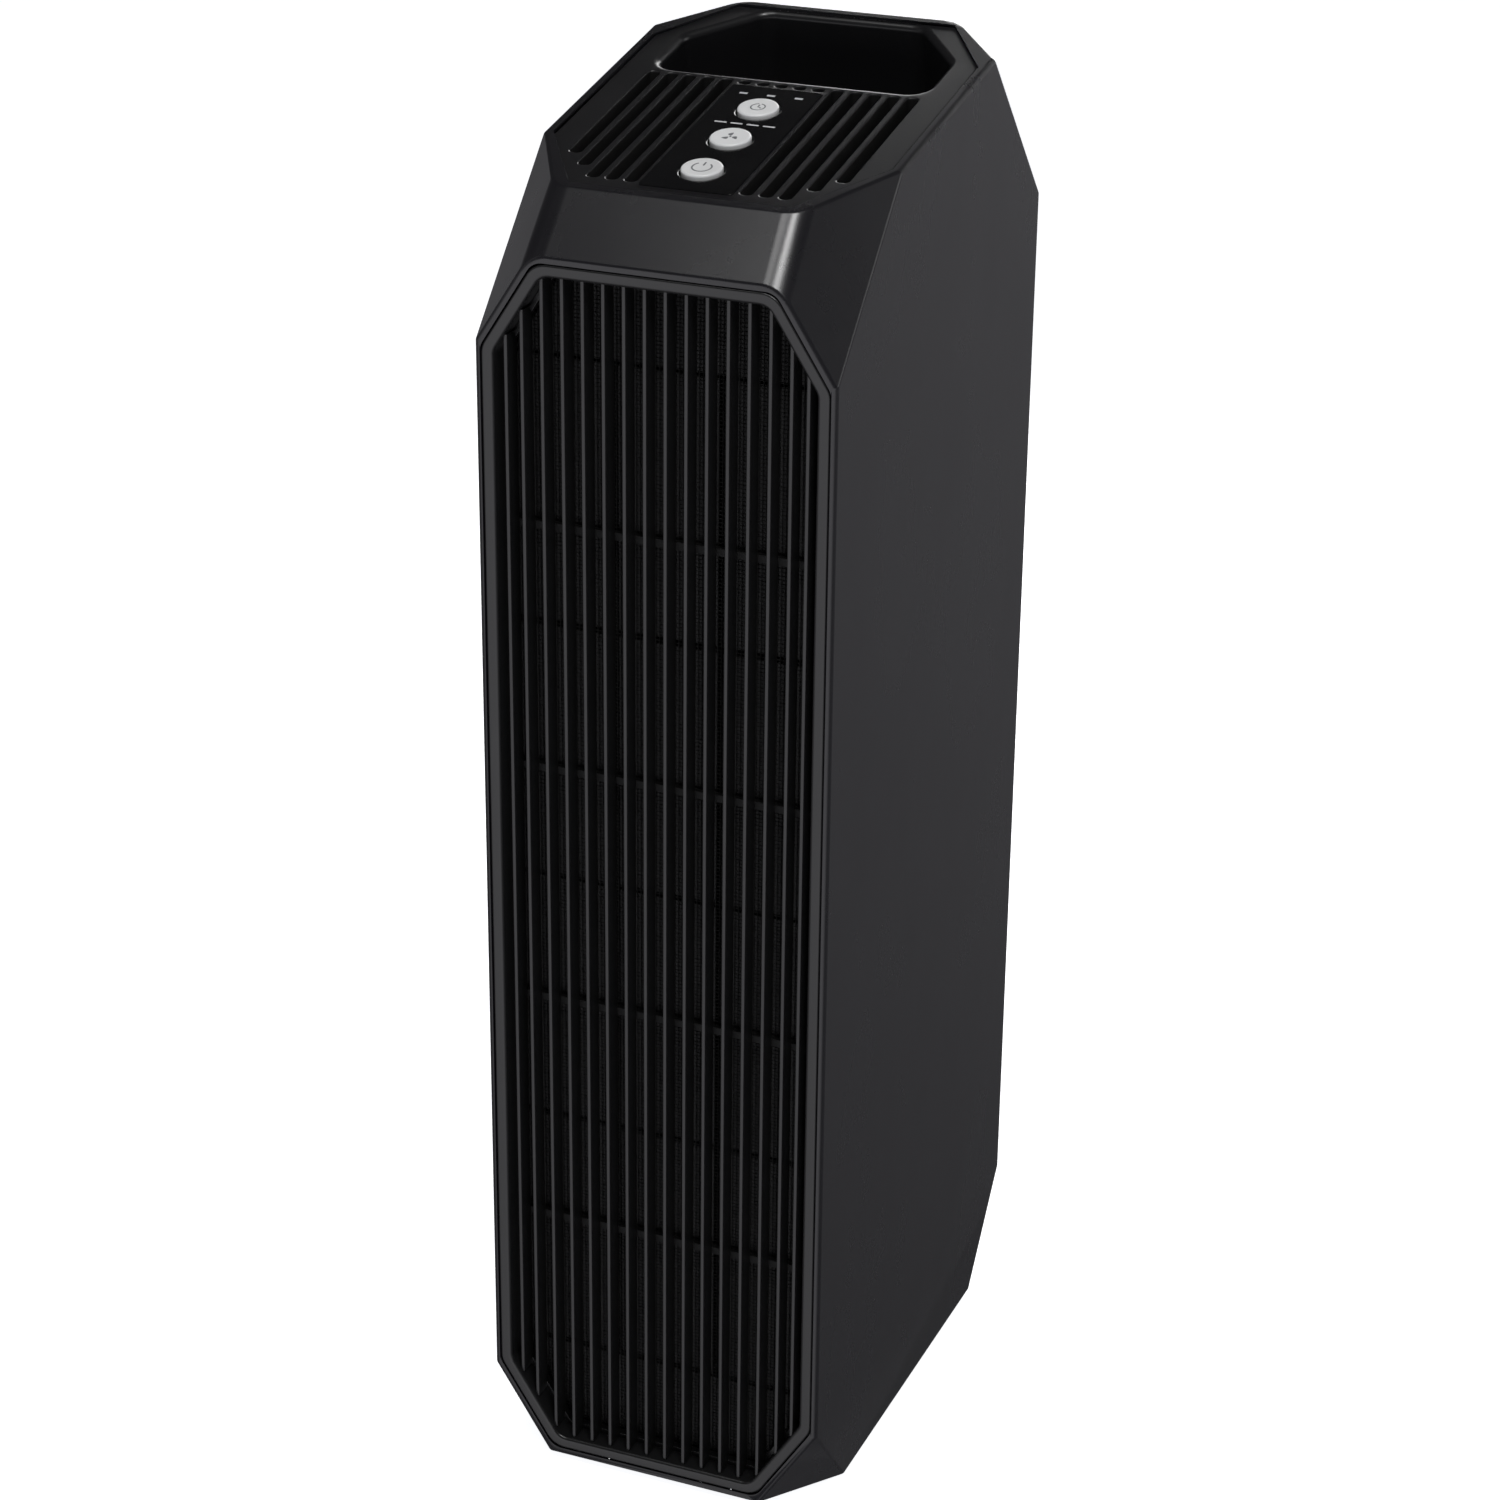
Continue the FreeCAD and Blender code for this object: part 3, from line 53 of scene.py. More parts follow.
# the sloping top has its own axes: across, up the slope, and out of it
upSlope = (centreOf("timer_button") - centreOf("power_button")).normalized()
topNormal = acrossAxis.cross(upSlope)
topAxes = Matrix((acrossAxis, upSlope, topNormal)).transposed().to_4x4()
frontAxes = Matrix(((1, 0, 0, 0), (0, 0, -1, 0), (0, 1, 0, 0), (0, 0, 0, 1)))  # x, z, towards the viewer
rearAxes = Matrix(((-1, 0, 0, 0), (0, 0, 1, 0), (0, 1, 0, 0), (0, 0, 0, 1)))


def localBox(node, axes):
    back = axes.inverted()
    points = [back @ v.co for v in cadNodes[node].data.vertices]
    low = Vector([min(p[i] for p in points) for i in range(3)])
    high = Vector([max(p[i] for p in points) for i in range(3)])
    return low, high


def node(tree, kind, links=None, **settings):
    made = tree.nodes.new(kind)
    for key, value in settings.items():
        setattr(made, key, value)
    for key, value in (links or {}).items():
        if isinstance(value, bpy.types.NodeSocket):
            tree.links.new(value, made.inputs[key])
        else:
            made.inputs[key].default_value = value
    return made


def maths(tree, operation, first, second=0.0, third=0.0):
    links = {0: first, 1: second, 2: third}
    return node(tree, "ShaderNodeMath", links, operation=operation).outputs[0]


def mixed(tree, share, first, second):
    made = node(tree, "ShaderNodeMix", data_type="RGBA")
    for index, value in ((0, share), (6, first), (7, second)):
        if isinstance(value, bpy.types.NodeSocket):
            tree.links.new(value, made.inputs[index])
        else:
            made.inputs[index].default_value = value
    return made.outputs[2]


def ramp(tree, value, low, high, first=0.0, second=1.0):
    links = {"Value": value, "From Min": low, "From Max": high, "To Min": first, "To Max": second}
    return node(tree, "ShaderNodeMapRange", links).outputs["Result"]


def objectPlace(tree):
    return node(tree, "ShaderNodeTexCoord").outputs["Object"]


def noise(tree, place, scale, detail, roughness=0.5):
    links = {"Vector": place, "Scale": scale, "Detail": detail, "Roughness": roughness}
    return node(tree, "ShaderNodeTexNoise", links).outputs["Fac"]


def point(tree, **values):
    return node(tree, "ShaderNodeCombineXYZ", values).outputs[0]


def newTree(name, kind, inputs, outputs):
    tree = bpy.data.node_groups.new(name, kind)
    for label, socketType, value in inputs:
        socket = tree.interface.new_socket(label, in_out="INPUT", socket_type=socketType)
        if value is not None:
            socket.default_value = value
    for label, socketType in outputs:
        tree.interface.new_socket(label, in_out="OUTPUT", socket_type=socketType)
    return tree, tree.nodes.new("NodeGroupInput").outputs, tree.nodes.new("NodeGroupOutput").inputs


number = "NodeSocketFloat"


def makeGrain():
    # the fine spark-eroded texture of a mould, and a slow mottle under it
    inputs = [("Size", number, 0.5), ("Mottle size", number, 30.0)]
    outputs = [("Height", number), ("Mottle", number)]
    tree, given, result = newTree("mouldGrain", "ShaderNodeTree", inputs, outputs)
    place = objectPlace(tree)
    fine = maths(tree, "DIVIDE", 1 / mm, given["Size"])
    slow = maths(tree, "DIVIDE", 1 / mm, given["Mottle size"])
    pits = noise(tree, place, fine, 2.0, 0.55)
    cells = node(tree, "ShaderNodeTexVoronoi", {"Vector": place, "Scale": fine}, feature="SMOOTH_F1")
    height = maths(tree, "MULTIPLY_ADD", cells.outputs["Distance"], 0.6, pits)
    tree.links.new(height, result["Height"])
    tree.links.new(ramp(tree, noise(tree, place, slow, 4.0), 0.3, 0.7), result["Mottle"])
    return tree


def makeEdgeWear():
    # where an outer edge is rubbed smooth: the rounded normal parts from the true one
    inputs = [("Reach", number, 0.8)]
    tree, given, result = newTree("edgeWear", "ShaderNodeTree", inputs, [("Mask", number)])
    reach = maths(tree, "MULTIPLY", given["Reach"], mm)
    soft = node(tree, "ShaderNodeBevel", {"Radius": reach}, samples=3).outputs["Normal"]
    true = node(tree, "ShaderNodeNewGeometry").outputs["Normal"]
    dot = node(tree, "ShaderNodeVectorMath", {0: soft, 1: true}, operation="DOT_PRODUCT").outputs["Value"]
    turned = maths(tree, "SUBTRACT", 1.0, dot)
    broken = noise(tree, objectPlace(tree), 160.0, 3.0)
    mask = maths(tree, "MULTIPLY", ramp(tree, turned, 0.02, 0.25), ramp(tree, broken, 0.35, 0.62))
    tree.links.new(mask, result["Mask"])
    return tree


def makeDust():
    # a thin film on what faces up, in drifts
    inputs = [("Amount", number, 0.3)]
    tree, given, result = newTree("settledDust", "ShaderNodeTree", inputs, [("Mask", number)])
    true = node(tree, "ShaderNodeNewGeometry").outputs["Normal"]
    up = node(tree, "ShaderNodeSeparateXYZ", {0: true}).outputs["Z"]
    place = objectPlace(tree)
    drifts, specks = noise(tree, place, 45.0, 6.0), noise(tree, place, 1400.0, 1.0)
    film = maths(tree, "MULTIPLY_ADD", ramp(tree, specks, 0.62, 0.72), 0.5, ramp(tree, drifts, 0.4, 0.75))
    mask = maths(tree, "MULTIPLY", maths(tree, "MULTIPLY", film, ramp(tree, up, 0.2, 0.95)), given["Amount"])
    tree.links.new(mask, result["Mask"])
    return tree


def makeWipes():
    # long faint smears left by a cloth, in both directions
    inputs = [("Length", number, 60.0)]
    tree, given, result = newTree("wipeMarks", "ShaderNodeTree", inputs, [("Smear", number)])
    place = objectPlace(tree)
    scale = maths(tree, "DIVIDE", 1 / mm, given["Length"])
    smears = []
    for turn, stretch in ((0.6, (2.4, 2.0, 1.0)), (-0.8, (1.6, 2.2, 1.2))):
        links = {"Vector": place, "Rotation": (turn, turn / 2, 0), "Scale": stretch}
        turned = node(tree, "ShaderNodeMapping", links).outputs[0]
        smears.append(noise(tree, turned, scale, 5.0, 0.6))
    both = maths(tree, "MULTIPLY_ADD", smears[0], 0.5, maths(tree, "MULTIPLY", smears[1], 0.5))
    tree.links.new(ramp(tree, both, 0.38, 0.62), result["Smear"])
    return tree


grainGroup, wearGroup, dustGroup, wipeGroup = makeGrain(), makeEdgeWear(), makeDust(), makeWipes()
print("shared effects made")


def grouped(tree, group, **values):
    made = tree.nodes.new("ShaderNodeGroup")
    made.node_tree = group
    for key, value in values.items():
        made.inputs[key.replace("_", " ")].default_value = value
    return made.outputs


def startMaterial(name, **fixed):
    # a shader with its uniform values set on its own sockets
    material = bpy.data.materials.new(name)
    material.use_nodes = True
    tree = material.node_tree
    shader = tree.nodes["Principled BSDF"]
    for key, value in fixed.items():
        shader.inputs[key.replace("_", " ")].default_value = value
    return material, tree, shader


def shade(rgb, factor=1.0):
    return tuple(min(1.0, c * factor) for c in rgb) + (1.0,)


def addRelief(tree, shader, height, distance, strength=1.0):
    # a bump of this many millimetres, on the shader's normal
    links = {"Height": height, "Strength": strength, "Distance": distance * mm}
    tree.links.new(node(tree, "ShaderNodeBump", links).outputs["Normal"], shader.inputs["Normal"])


plastics = {
    "shell": dict(colour=(0.0085, 0.0082, 0.0100), rough=0.28, grain=0.5, relief=0.014, wear=0.15, dust=0.01),
    "cover_black": dict(colour=(0.0085, 0.0085, 0.0090), rough=0.30,
                        grain=0.4, relief=0.014, wear=0.3, dust=0.01),
    "panel_black": dict(colour=(0.0075, 0.0074, 0.0083), rough=0.30,
                        grain=0.45, relief=0.014, wear=0.3, dust=0.01),
    "strip_black": dict(colour=(0.0025, 0.0025, 0.0028), rough=0.13, grain=0.3, relief=0.006, dust=0.006),
    # inner_black is the inner parts' own dark finish; on the slot walls and the fin bars it is painted shade
    "inner_black": dict(colour=(0.0030, 0.0030, 0.0030), rough=0.62, grain=0.6, relief=0.03, dust=0.01),
    "wheel_grey": dict(colour=(0.11, 0.112, 0.118), rough=0.45, grain=0.5, relief=0.04, dust=0.35),
    "filter_white": dict(colour=(0.72, 0.71, 0.68), rough=0.6, grain=0.7, relief=0.05, dust=0.2),
    "button_white": dict(colour=(0.74, 0.745, 0.75), rough=0.34, grain=0.3, relief=0.012, dust=0.03),
}


def makePlastic(name, look):
    material, tree, shader = startMaterial(name, Specular_IOR_Level=0.45)
    grain = grouped(tree, grainGroup, Size=look["grain"], Mottle_size=28.0)
    smear = grouped(tree, wipeGroup, Length=110.0)["Smear"]
    dust = grouped(tree, dustGroup, Amount=look["dust"])["Mask"]
    colour = mixed(tree, grain["Mottle"], shade(look["colour"], 0.95), shade(look["colour"], 1.05))
    rough = maths(tree, "MULTIPLY_ADD", smear, 0.035, look["rough"] - 0.018)
    if "wear" in look:
        wear = grouped(tree, wearGroup, Reach=0.6)["Mask"]
        colour = mixed(tree, maths(tree, "MULTIPLY", wear, look["wear"]), colour, shade(look["colour"], 2.4))
        rough = maths(tree, "MULTIPLY_ADD", wear, -0.1, rough)
    tree.links.new(mixed(tree, dust, colour, (0.32, 0.31, 0.29, 1)), shader.inputs["Base Color"])
    rough = maths(tree, "MULTIPLY_ADD", dust, 0.4, rough)
    tree.links.new(rough, shader.inputs["Roughness"])
    addRelief(tree, shader, grain["Height"], look["relief"], 0.6)
    return material


metals = {
    "steel": dict(colour=(0.56, 0.56, 0.57), rough=0.24, brush=(1, 220, 1)),
    "screw_steel": dict(colour=(0.08, 0.08, 0.085), rough=0.32, brush=(60, 60, 60)),
    "motor_steel": dict(colour=(0.48, 0.48, 0.49), rough=0.36, brush=(1, 160, 1)),
    "pin_brass": dict(colour=(0.72, 0.68, 0.55), rough=0.22, brush=(90, 4, 90)),
    "module_tin": dict(colour=(0.62, 0.62, 0.6), rough=0.3, brush=(140, 3, 3)),
}


def makeMetal(name, look):
    material, tree, shader = startMaterial(name, Metallic=1.0)
    links = {"Vector": objectPlace(tree), "Scale": look["brush"]}
    lines = node(tree, "ShaderNodeMapping", links).outputs[0]
    brushed = noise(tree, lines, 12.0, 6.0)
    tarnish = grouped(tree, grainGroup, Size=0.6, Mottle_size=9.0)
    colour = mixed(tree, tarnish["Mottle"], shade(look["colour"], 0.82), shade(look["colour"], 1.08))
    tree.links.new(colour, shader.inputs["Base Color"])
    rough = maths(tree, "MULTIPLY_ADD", brushed, 0.22, look["rough"] - 0.1)
    tree.links.new(rough, shader.inputs["Roughness"])
    addRelief(tree, shader, brushed, 0.02, 0.35)
    return material


fibres = {
    "foot_rubber": dict(colour=(0.02, 0.02, 0.02), rough=0.78, size=0.5, relief=0.06),
    "mount_rubber": dict(colour=(0.03, 0.03, 0.03), rough=0.8, size=0.5, relief=0.06),
    "mesh": dict(colour=(0.005, 0.005, 0.005), rough=0.6, size=0.3, relief=0.02),
    "filter_paper": dict(colour=(0.8, 0.8, 0.77), rough=0.85, size=0.35, relief=0.12),
    "carbon": dict(colour=(0.018, 0.018, 0.018), rough=0.9, size=1.6, relief=0.5),
    "foam": dict(colour=(0.05, 0.05, 0.052), rough=0.95, size=0.8, relief=0.3),
    "tab": dict(colour=(0.5, 0.5, 0.52), rough=0.7, size=0.5, relief=0.06),
    "coil": dict(colour=(0.32, 0.10, 0.02), rough=0.35, size=0.7, relief=0.25),
}


def makeFibre(name, look):
    # rubber, paper, foam, felt and wound wire: matt, with a crumbly or fibrous relief
    material, tree, shader = startMaterial(name)
    grain = grouped(tree, grainGroup, Size=look["size"], Mottle_size=14.0)
    dark = maths(tree, "MULTIPLY", grain["Mottle"], 0.6)
    colour = mixed(tree, dark, shade(look["colour"], 1.1), shade(look["colour"], 0.75))
    colour = mixed(tree, ramp(tree, grain["Height"], 0.5, 0.95), colour, shade(look["colour"], 1.25))
    dust = grouped(tree, dustGroup, Amount=0.12)["Mask"]
    tree.links.new(mixed(tree, dust, colour, (0.35, 0.34, 0.32, 1)), shader.inputs["Base Color"])
    rough = maths(tree, "MULTIPLY_ADD", grain["Mottle"], 0.1, look["rough"] - 0.05)
    tree.links.new(rough, shader.inputs["Roughness"])
    addRelief(tree, shader, grain["Height"], look["relief"])
    return material


def makeBoardGreen():
    # solder mask over faint copper tracks
    material, tree, shader = startMaterial("board_green", Coat_Weight=0.4)
    links = {"Vector": objectPlace(tree), "Scale": 90.0, "Mortar Size": 0.03}
    tracks = node(tree, "ShaderNodeTexBrick", links)
    grain = grouped(tree, grainGroup, Size=0.4, Mottle_size=12.0)
    mask = mixed(tree, grain["Mottle"], (0.008, 0.075, 0.03, 1), (0.012, 0.1, 0.04, 1))
    colour = mixed(tree, tracks.outputs["Fac"], mask, (0.02, 0.16, 0.06, 1))
    tree.links.new(colour, shader.inputs["Base Color"])
    tree.links.new(ramp(tree, grain["Mottle"], 0, 1, 0.28, 0.4), shader.inputs["Roughness"])
    addRelief(tree, shader, tracks.outputs["Fac"], 0.03)
    return material


def makeCapacitorSleeve():
    # shrunk sleeve with a pale stripe on one side
    material, tree, shader = startMaterial("capacitor", Coat_Weight=0.3)
    across = node(tree, "ShaderNodeSeparateXYZ", {0: objectPlace(tree)}).outputs["X"]
    grain = grouped(tree, grainGroup, Size=0.8, Mottle_size=10.0)
    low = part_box("bulk_capacitor")[0].x
    stripe = ramp(tree, across, low + 4 * mm, low + 3.6 * mm)
    sleeve = mixed(tree, grain["Mottle"], (0.012, 0.014, 0.05, 1), (0.02, 0.023, 0.075, 1))
    tree.links.new(mixed(tree, stripe, sleeve, (0.6, 0.6, 0.62, 1)), shader.inputs["Base Color"])
    tree.links.new(ramp(tree, grain["Mottle"], 0, 1, 0.25, 0.42), shader.inputs["Roughness"])
    addRelief(tree, shader, grain["Height"], 0.02)
    return material


def makeLens(name, colour, glow):
    # a clouded light window
    material, tree, shader = startMaterial(name, Coat_Weight=0.5, Emission_Strength=glow)
    grain = grouped(tree, grainGroup, Size=0.5, Mottle_size=2.5)
    cloudy = mixed(tree, grain["Mottle"], shade(colour, 0.8), shade(colour, 1.1))
    tree.links.new(cloudy, shader.inputs["Base Color"])
    tree.links.new(cloudy, shader.inputs["Emission Color"])
    tree.links.new(ramp(tree, grain["Mottle"], 0, 1, 0.3, 0.45), shader.inputs["Roughness"])
    addRelief(tree, shader, grain["Height"], 0.01)
    return material


def makePrint(name, colour):
    # ink laid on plastic, a little worn through
    material, tree, shader = startMaterial(name)
    grain = grouped(tree, grainGroup, Size=0.25, Mottle_size=1.5)
    ink = mixed(tree, grain["Mottle"], shade(colour, 0.82), shade(colour, 1.05))
    tree.links.new(ink, shader.inputs["Base Color"])
    tree.links.new(ramp(tree, grain["Mottle"], 0, 1, 0.45, 0.6), shader.inputs["Roughness"])
    addRelief(tree, shader, grain["Height"], 0.008)
    return material


def makeFinishes():
    made = {name: makePlastic(name, look) for name, look in plastics.items()}
    made.update({name: makeMetal(name, look) for name, look in metals.items()})
    made.update({name: makeFibre(name, look) for name, look in fibres.items()})
    made["board_green"] = makeBoardGreen()
    made["capacitor"] = makeCapacitorSleeve()
    made["lens"] = makeLens("lens", (0.62, 0.63, 0.66), 0.05)
    made["led"] = makeLens("led", (0.8, 0.8, 0.7), 0.2)
    made["ink_white"] = makePrint("ink_white", (0.62, 0.62, 0.64))
    made["ink_grey"] = makePrint("ink_grey", (0.16, 0.165, 0.175))
    return made


slotOf = {name: part.material_slots[0].material.name for name, part in cadNodes.items()}
for plain in list(bpy.data.materials):
    plain.name = "plain_" + plain.name
finishes = makeFinishes()
for name, part in cadNodes.items():
    part.material_slots[0].material = finishes[slotOf[name]]
print("finishes made")


def grow(corners, distance):
    # moves every side of a closed outline outwards
    result = []
    for i, corner in enumerate(corners):
        before = (corner - corners[i - 1]).normalized()
        after = (corners[(i + 1) % len(corners)] - corner).normalized()
        first, second = Vector((before.y, -before.x)), Vector((after.y, -after.x))
        result.append(corner + (first + second) / (1 + first.dot(second)) * distance)
    return result


def rounded(corners, radius, steps=6):
    # the same outline with each corner turned into an arc
    points = []
    for i, corner in enumerate(corners):
        back = (corners[i - 1] - corner).normalized()
        ahead = (corners[(i + 1) % len(corners)] - corner).normalized()
        halfAngle = back.angle(ahead) / 2
        centre = corner + (back + ahead).normalized() * radius / math.sin(halfAngle)
        start = corner + back * radius / math.tan(halfAngle) - centre
        turn = math.pi - 2 * halfAngle
        if back.x * ahead.y - back.y * ahead.x > 0:
            turn = -turn
        for k in range(steps + 1):
            angle = turn * k / steps
            spun = (start.x * math.cos(angle) - start.y * math.sin(angle),
                    start.x * math.sin(angle) + start.y * math.cos(angle))
            points.append(centre + Vector(spun))
    return points


def box2d(left, low, right, high):
    return [Vector(p) for p in ((left, low), (right, low), (right, high), (left, high))]


def disc(x, y, radius, steps=48):
    turns = [2 * math.pi * k / steps for k in range(steps)]
    return [Vector((x + radius * math.cos(t), y + radius * math.sin(t))) for t in turns]


def newPiece(name, mesh, body, slotName, material=None, bevel=0.0, stands=(), smooth=35):
    # puts a finished mesh in the scene on its body, with its finish
    if isinstance(mesh, bmesh.types.BMesh):
        work, mesh = mesh, bpy.data.meshes.new(name)
        work.to_mesh(mesh)
        work.free()
    mesh.shade_smooth()
    mesh.set_sharp_from_angle(angle=math.radians(smooth))
    piece = bpy.data.objects.new(name, mesh)
    bpy.context.scene.collection.objects.link(piece)
    mesh.materials.clear()
    mesh.materials.append(material or finishes[slotName])
    if bevel:
        rounding = piece.modifiers.new("rounding", "BEVEL")
        rounding.width, rounding.segments = bevel, 2
        rounding.limit_method, rounding.angle_limit = "ANGLE", math.radians(50)
        rounding.harden_normals = False
    even = piece.modifiers.new("even_normals", "WEIGHTED_NORMAL")
    even.keep_sharp = True
    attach(piece, body)
    if stands:
        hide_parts(*stands)
    return piece


def mergedCopy(nodeName):
    # the part's loose triangles joined, with degenerate slivers dissolved
    work = bmesh.new()
    work.from_mesh(cadNodes[nodeName].data)
    bmesh.ops.remove_doubles(work, verts=work.verts, dist=0.004 * mm)
    bmesh.ops.dissolve_degenerate(work, dist=0.002 * mm, edges=work.edges)
    return work


def wholeFaces(work):
    # the triangles of each flat face joined into one
    bmesh.ops.dissolve_limit(work, angle_limit=math.radians(0.05), verts=work.verts, edges=work.edges)
    return work


def refined(nodeName, body, name, bevel=0.0, smooth=35):
    work = mergedCopy(nodeName)
    if bevel:
        wholeFaces(work)
    return newPiece(name, work, body, slotOf[nodeName], None, bevel, (nodeName,), smooth)


def placed(work, axes):
    # carries a mesh drawn flat to its own plane
    bmesh.ops.transform(work, matrix=axes, verts=work.verts)
    return work


def addRing(work, points, level):
    return [work.verts.new((p.x, p.y, level)) for p in points]


def joinRings(work, first, second):
    for i in range(len(first)):
        j = (i + 1) % len(first)
        work.faces.new((first[i], first[j], second[j], second[i]))


def ringEdges(work, ring):
    return [work.edges.get((ring[i - 1], ring[i])) or work.edges.new((ring[i - 1], ring[i]))
            for i in range(len(ring))]


def rolledEdge(work, corners, radius, level, depth, edge, side, steps=4, cornerSteps=6):
    # from the flat face over a rounded edge and down a wall; side is 1 round a hole and -1 at the rim
    rings = []
    for k in range(steps + 1):
        angle = math.pi / 2 * k / steps
        out = side * edge * (1 - math.sin(angle))
        drop = edge * (1 - math.cos(angle))
        outline = rounded(grow(corners, out), max(radius + out, 0.02 * mm), cornerSteps)
        rings.append(addRing(work, outline, level - drop))
    rings.append(addRing(work, rounded(corners, max(radius, 0.02 * mm), cornerSteps), level - depth))
    for first, second in zip(rings, rings[1:]):
        joinRings(work, first, second)
    return rings[0], rings[-1]


def fillFlat(work, edges):
    # one flat face inside the outer ring and outside every inner one
    bmesh.ops.triangle_fill(work, use_beauty=True, use_dissolve=False, edges=edges)


def faceOutwards(work):
    bmesh.ops.recalc_face_normals(work, faces=work.faces)
    return work


def rolledPlate(outer, holes, level, depth, edge):
    # a flat plate with rounded rim and holes; each outline is (corners, corner radius)
    work = bmesh.new()
    topEdges, lowEdges = [], []
    for index, (corners, radius) in enumerate([outer] + holes):
        top, low = rolledEdge(work, corners, radius, level, depth, edge, 1 if index else -1)
        topEdges += ringEdges(work, top)
        lowEdges += ringEdges(work, low)
    fillFlat(work, topEdges)
    fillFlat(work, lowEdges)
    return faceOutwards(work)


def lathe(profile, steps=48):
    # turns (radius, height) points about the vertical; both ends meet the axis
    work = bmesh.new()
    rings = [addRing(work, disc(0, 0, r, steps), h) for r, h in profile[1:-1]]
    for first, second in zip(rings, rings[1:]):
        joinRings(work, first, second)
    for ring, (_, height) in ((rings[0], profile[0]), (rings[-1], profile[-1])):
        pole = work.verts.new((0, 0, height))
        for i in range(steps):
            work.faces.new((ring[i - 1], ring[i], pole))
    return faceOutwards(work)


def islandBoxes(nodeName, axes=None):
    # the box of each separate solid in a node
    work = placed(mergedCopy(nodeName), (axes or Matrix()).inverted())
    left, boxes = set(work.verts), []
    while left:
        front = [left.pop()]
        found = list(front)
        while front:
            vert = front.pop()
            for edge in vert.link_edges:
                other = edge.other_vert(vert)
                if other in left:
                    left.discard(other)
                    front.append(other)
                    found.append(other)
        low = Vector([min(v.co[i] for v in found) for i in range(3)])
        high = Vector([max(v.co[i] for v in found) for i in range(3)])
        boxes.append((low, high))
    work.free()
    return boxes


def runTree(name, tree, values, base=None):
    # evaluates a tree on a base mesh and returns the plain mesh that it makes
    source = bpy.data.objects.new(name + "_source", base or bpy.data.meshes.new(name + "_source"))
    bpy.context.scene.collection.objects.link(source)
    modifier = source.modifiers.new(name, "NODES")
    modifier.node_group = tree
    for item in tree.interface.items_tree:
        if item.item_type == "SOCKET" and item.in_out == "INPUT" and item.name in values:
            modifier[item.identifier] = values[item.name]
    source.update_tag()
    graph = bpy.context.evaluated_depsgraph_get()
    mesh = bpy.data.meshes.new_from_object(source.evaluated_get(graph))
    mesh.name = name
    source.modifiers.clear()
    bpy.data.objects.remove(source)
    return mesh


geometrySocket = "NodeSocketGeometry"


def finishTree(tree, result, geometry, material):
    solid = node(tree, "GeometryNodeRealizeInstances", {0: geometry}).outputs[0]
    painted = node(tree, "GeometryNodeSetMaterial", {"Geometry": solid, "Material": material})
    tree.links.new(painted.outputs[0], result["Geometry"])


octagonInputs = [("Half width", number, 0), ("Top", number, 0), ("Bottom", number, 0),
                 ("High shoulder", number, 0), ("Low shoulder", number, 0), ("High slope", number, 0),
                 ("Low slope", number, 0)]


def pointRow(tree, count, start, step):
    links = {"Count": count, "Start Location": start, "Offset": step}
    return node(tree, "GeometryNodeMeshLine", links).outputs[0]


def stretchedCopies(tree, spots, unit, stretch, lift):
    # a copy of the unit at every spot, stretched and lifted by what holds there
    named = {"Geometry": spots, "Name": "copyScale", "Value": stretch}
    sized = node(tree, "GeometryNodeStoreNamedAttribute", named, data_type="FLOAT_VECTOR").outputs[0]
    raised = node(tree, "GeometryNodeSetPosition", {"Geometry": sized, "Offset": lift}).outputs[0]
    size = node(tree, "GeometryNodeInputNamedAttribute", {"Name": "copyScale"}, data_type="FLOAT_VECTOR")
    links = {"Points": raised, "Instance": unit, "Scale": size.outputs[0]}
    return node(tree, "GeometryNodeInstanceOnPoints", links).outputs[0]


def swept(tree, start, end, section):
    # a closed bar with this section from start to end
    line = node(tree, "GeometryNodeCurvePrimitiveLine", {"Start": start, "End": end}).outputs[0]
    links = {"Curve": line, "Profile Curve": section, "Fill Caps": True}
    return node(tree, "GeometryNodeCurveToMesh", links).outputs[0]


def spanAt(tree, given, across):
    # how far in from the side a place is, and the outline's height above and below it
    inwards = maths(tree, "SUBTRACT", given["Half width"], maths(tree, "ABSOLUTE", across))
    rise = maths(tree, "MULTIPLY_ADD", inwards, given["High slope"], given["High shoulder"])
    fall = maths(tree, "MULTIPLY", maths(tree, "MULTIPLY", inwards, given["Low slope"]), -1.0)
    top = maths(tree, "MINIMUM", rise, given["Top"])
    return top, maths(tree, "MAXIMUM", maths(tree, "ADD", fall, given["Low shoulder"]), given["Bottom"])


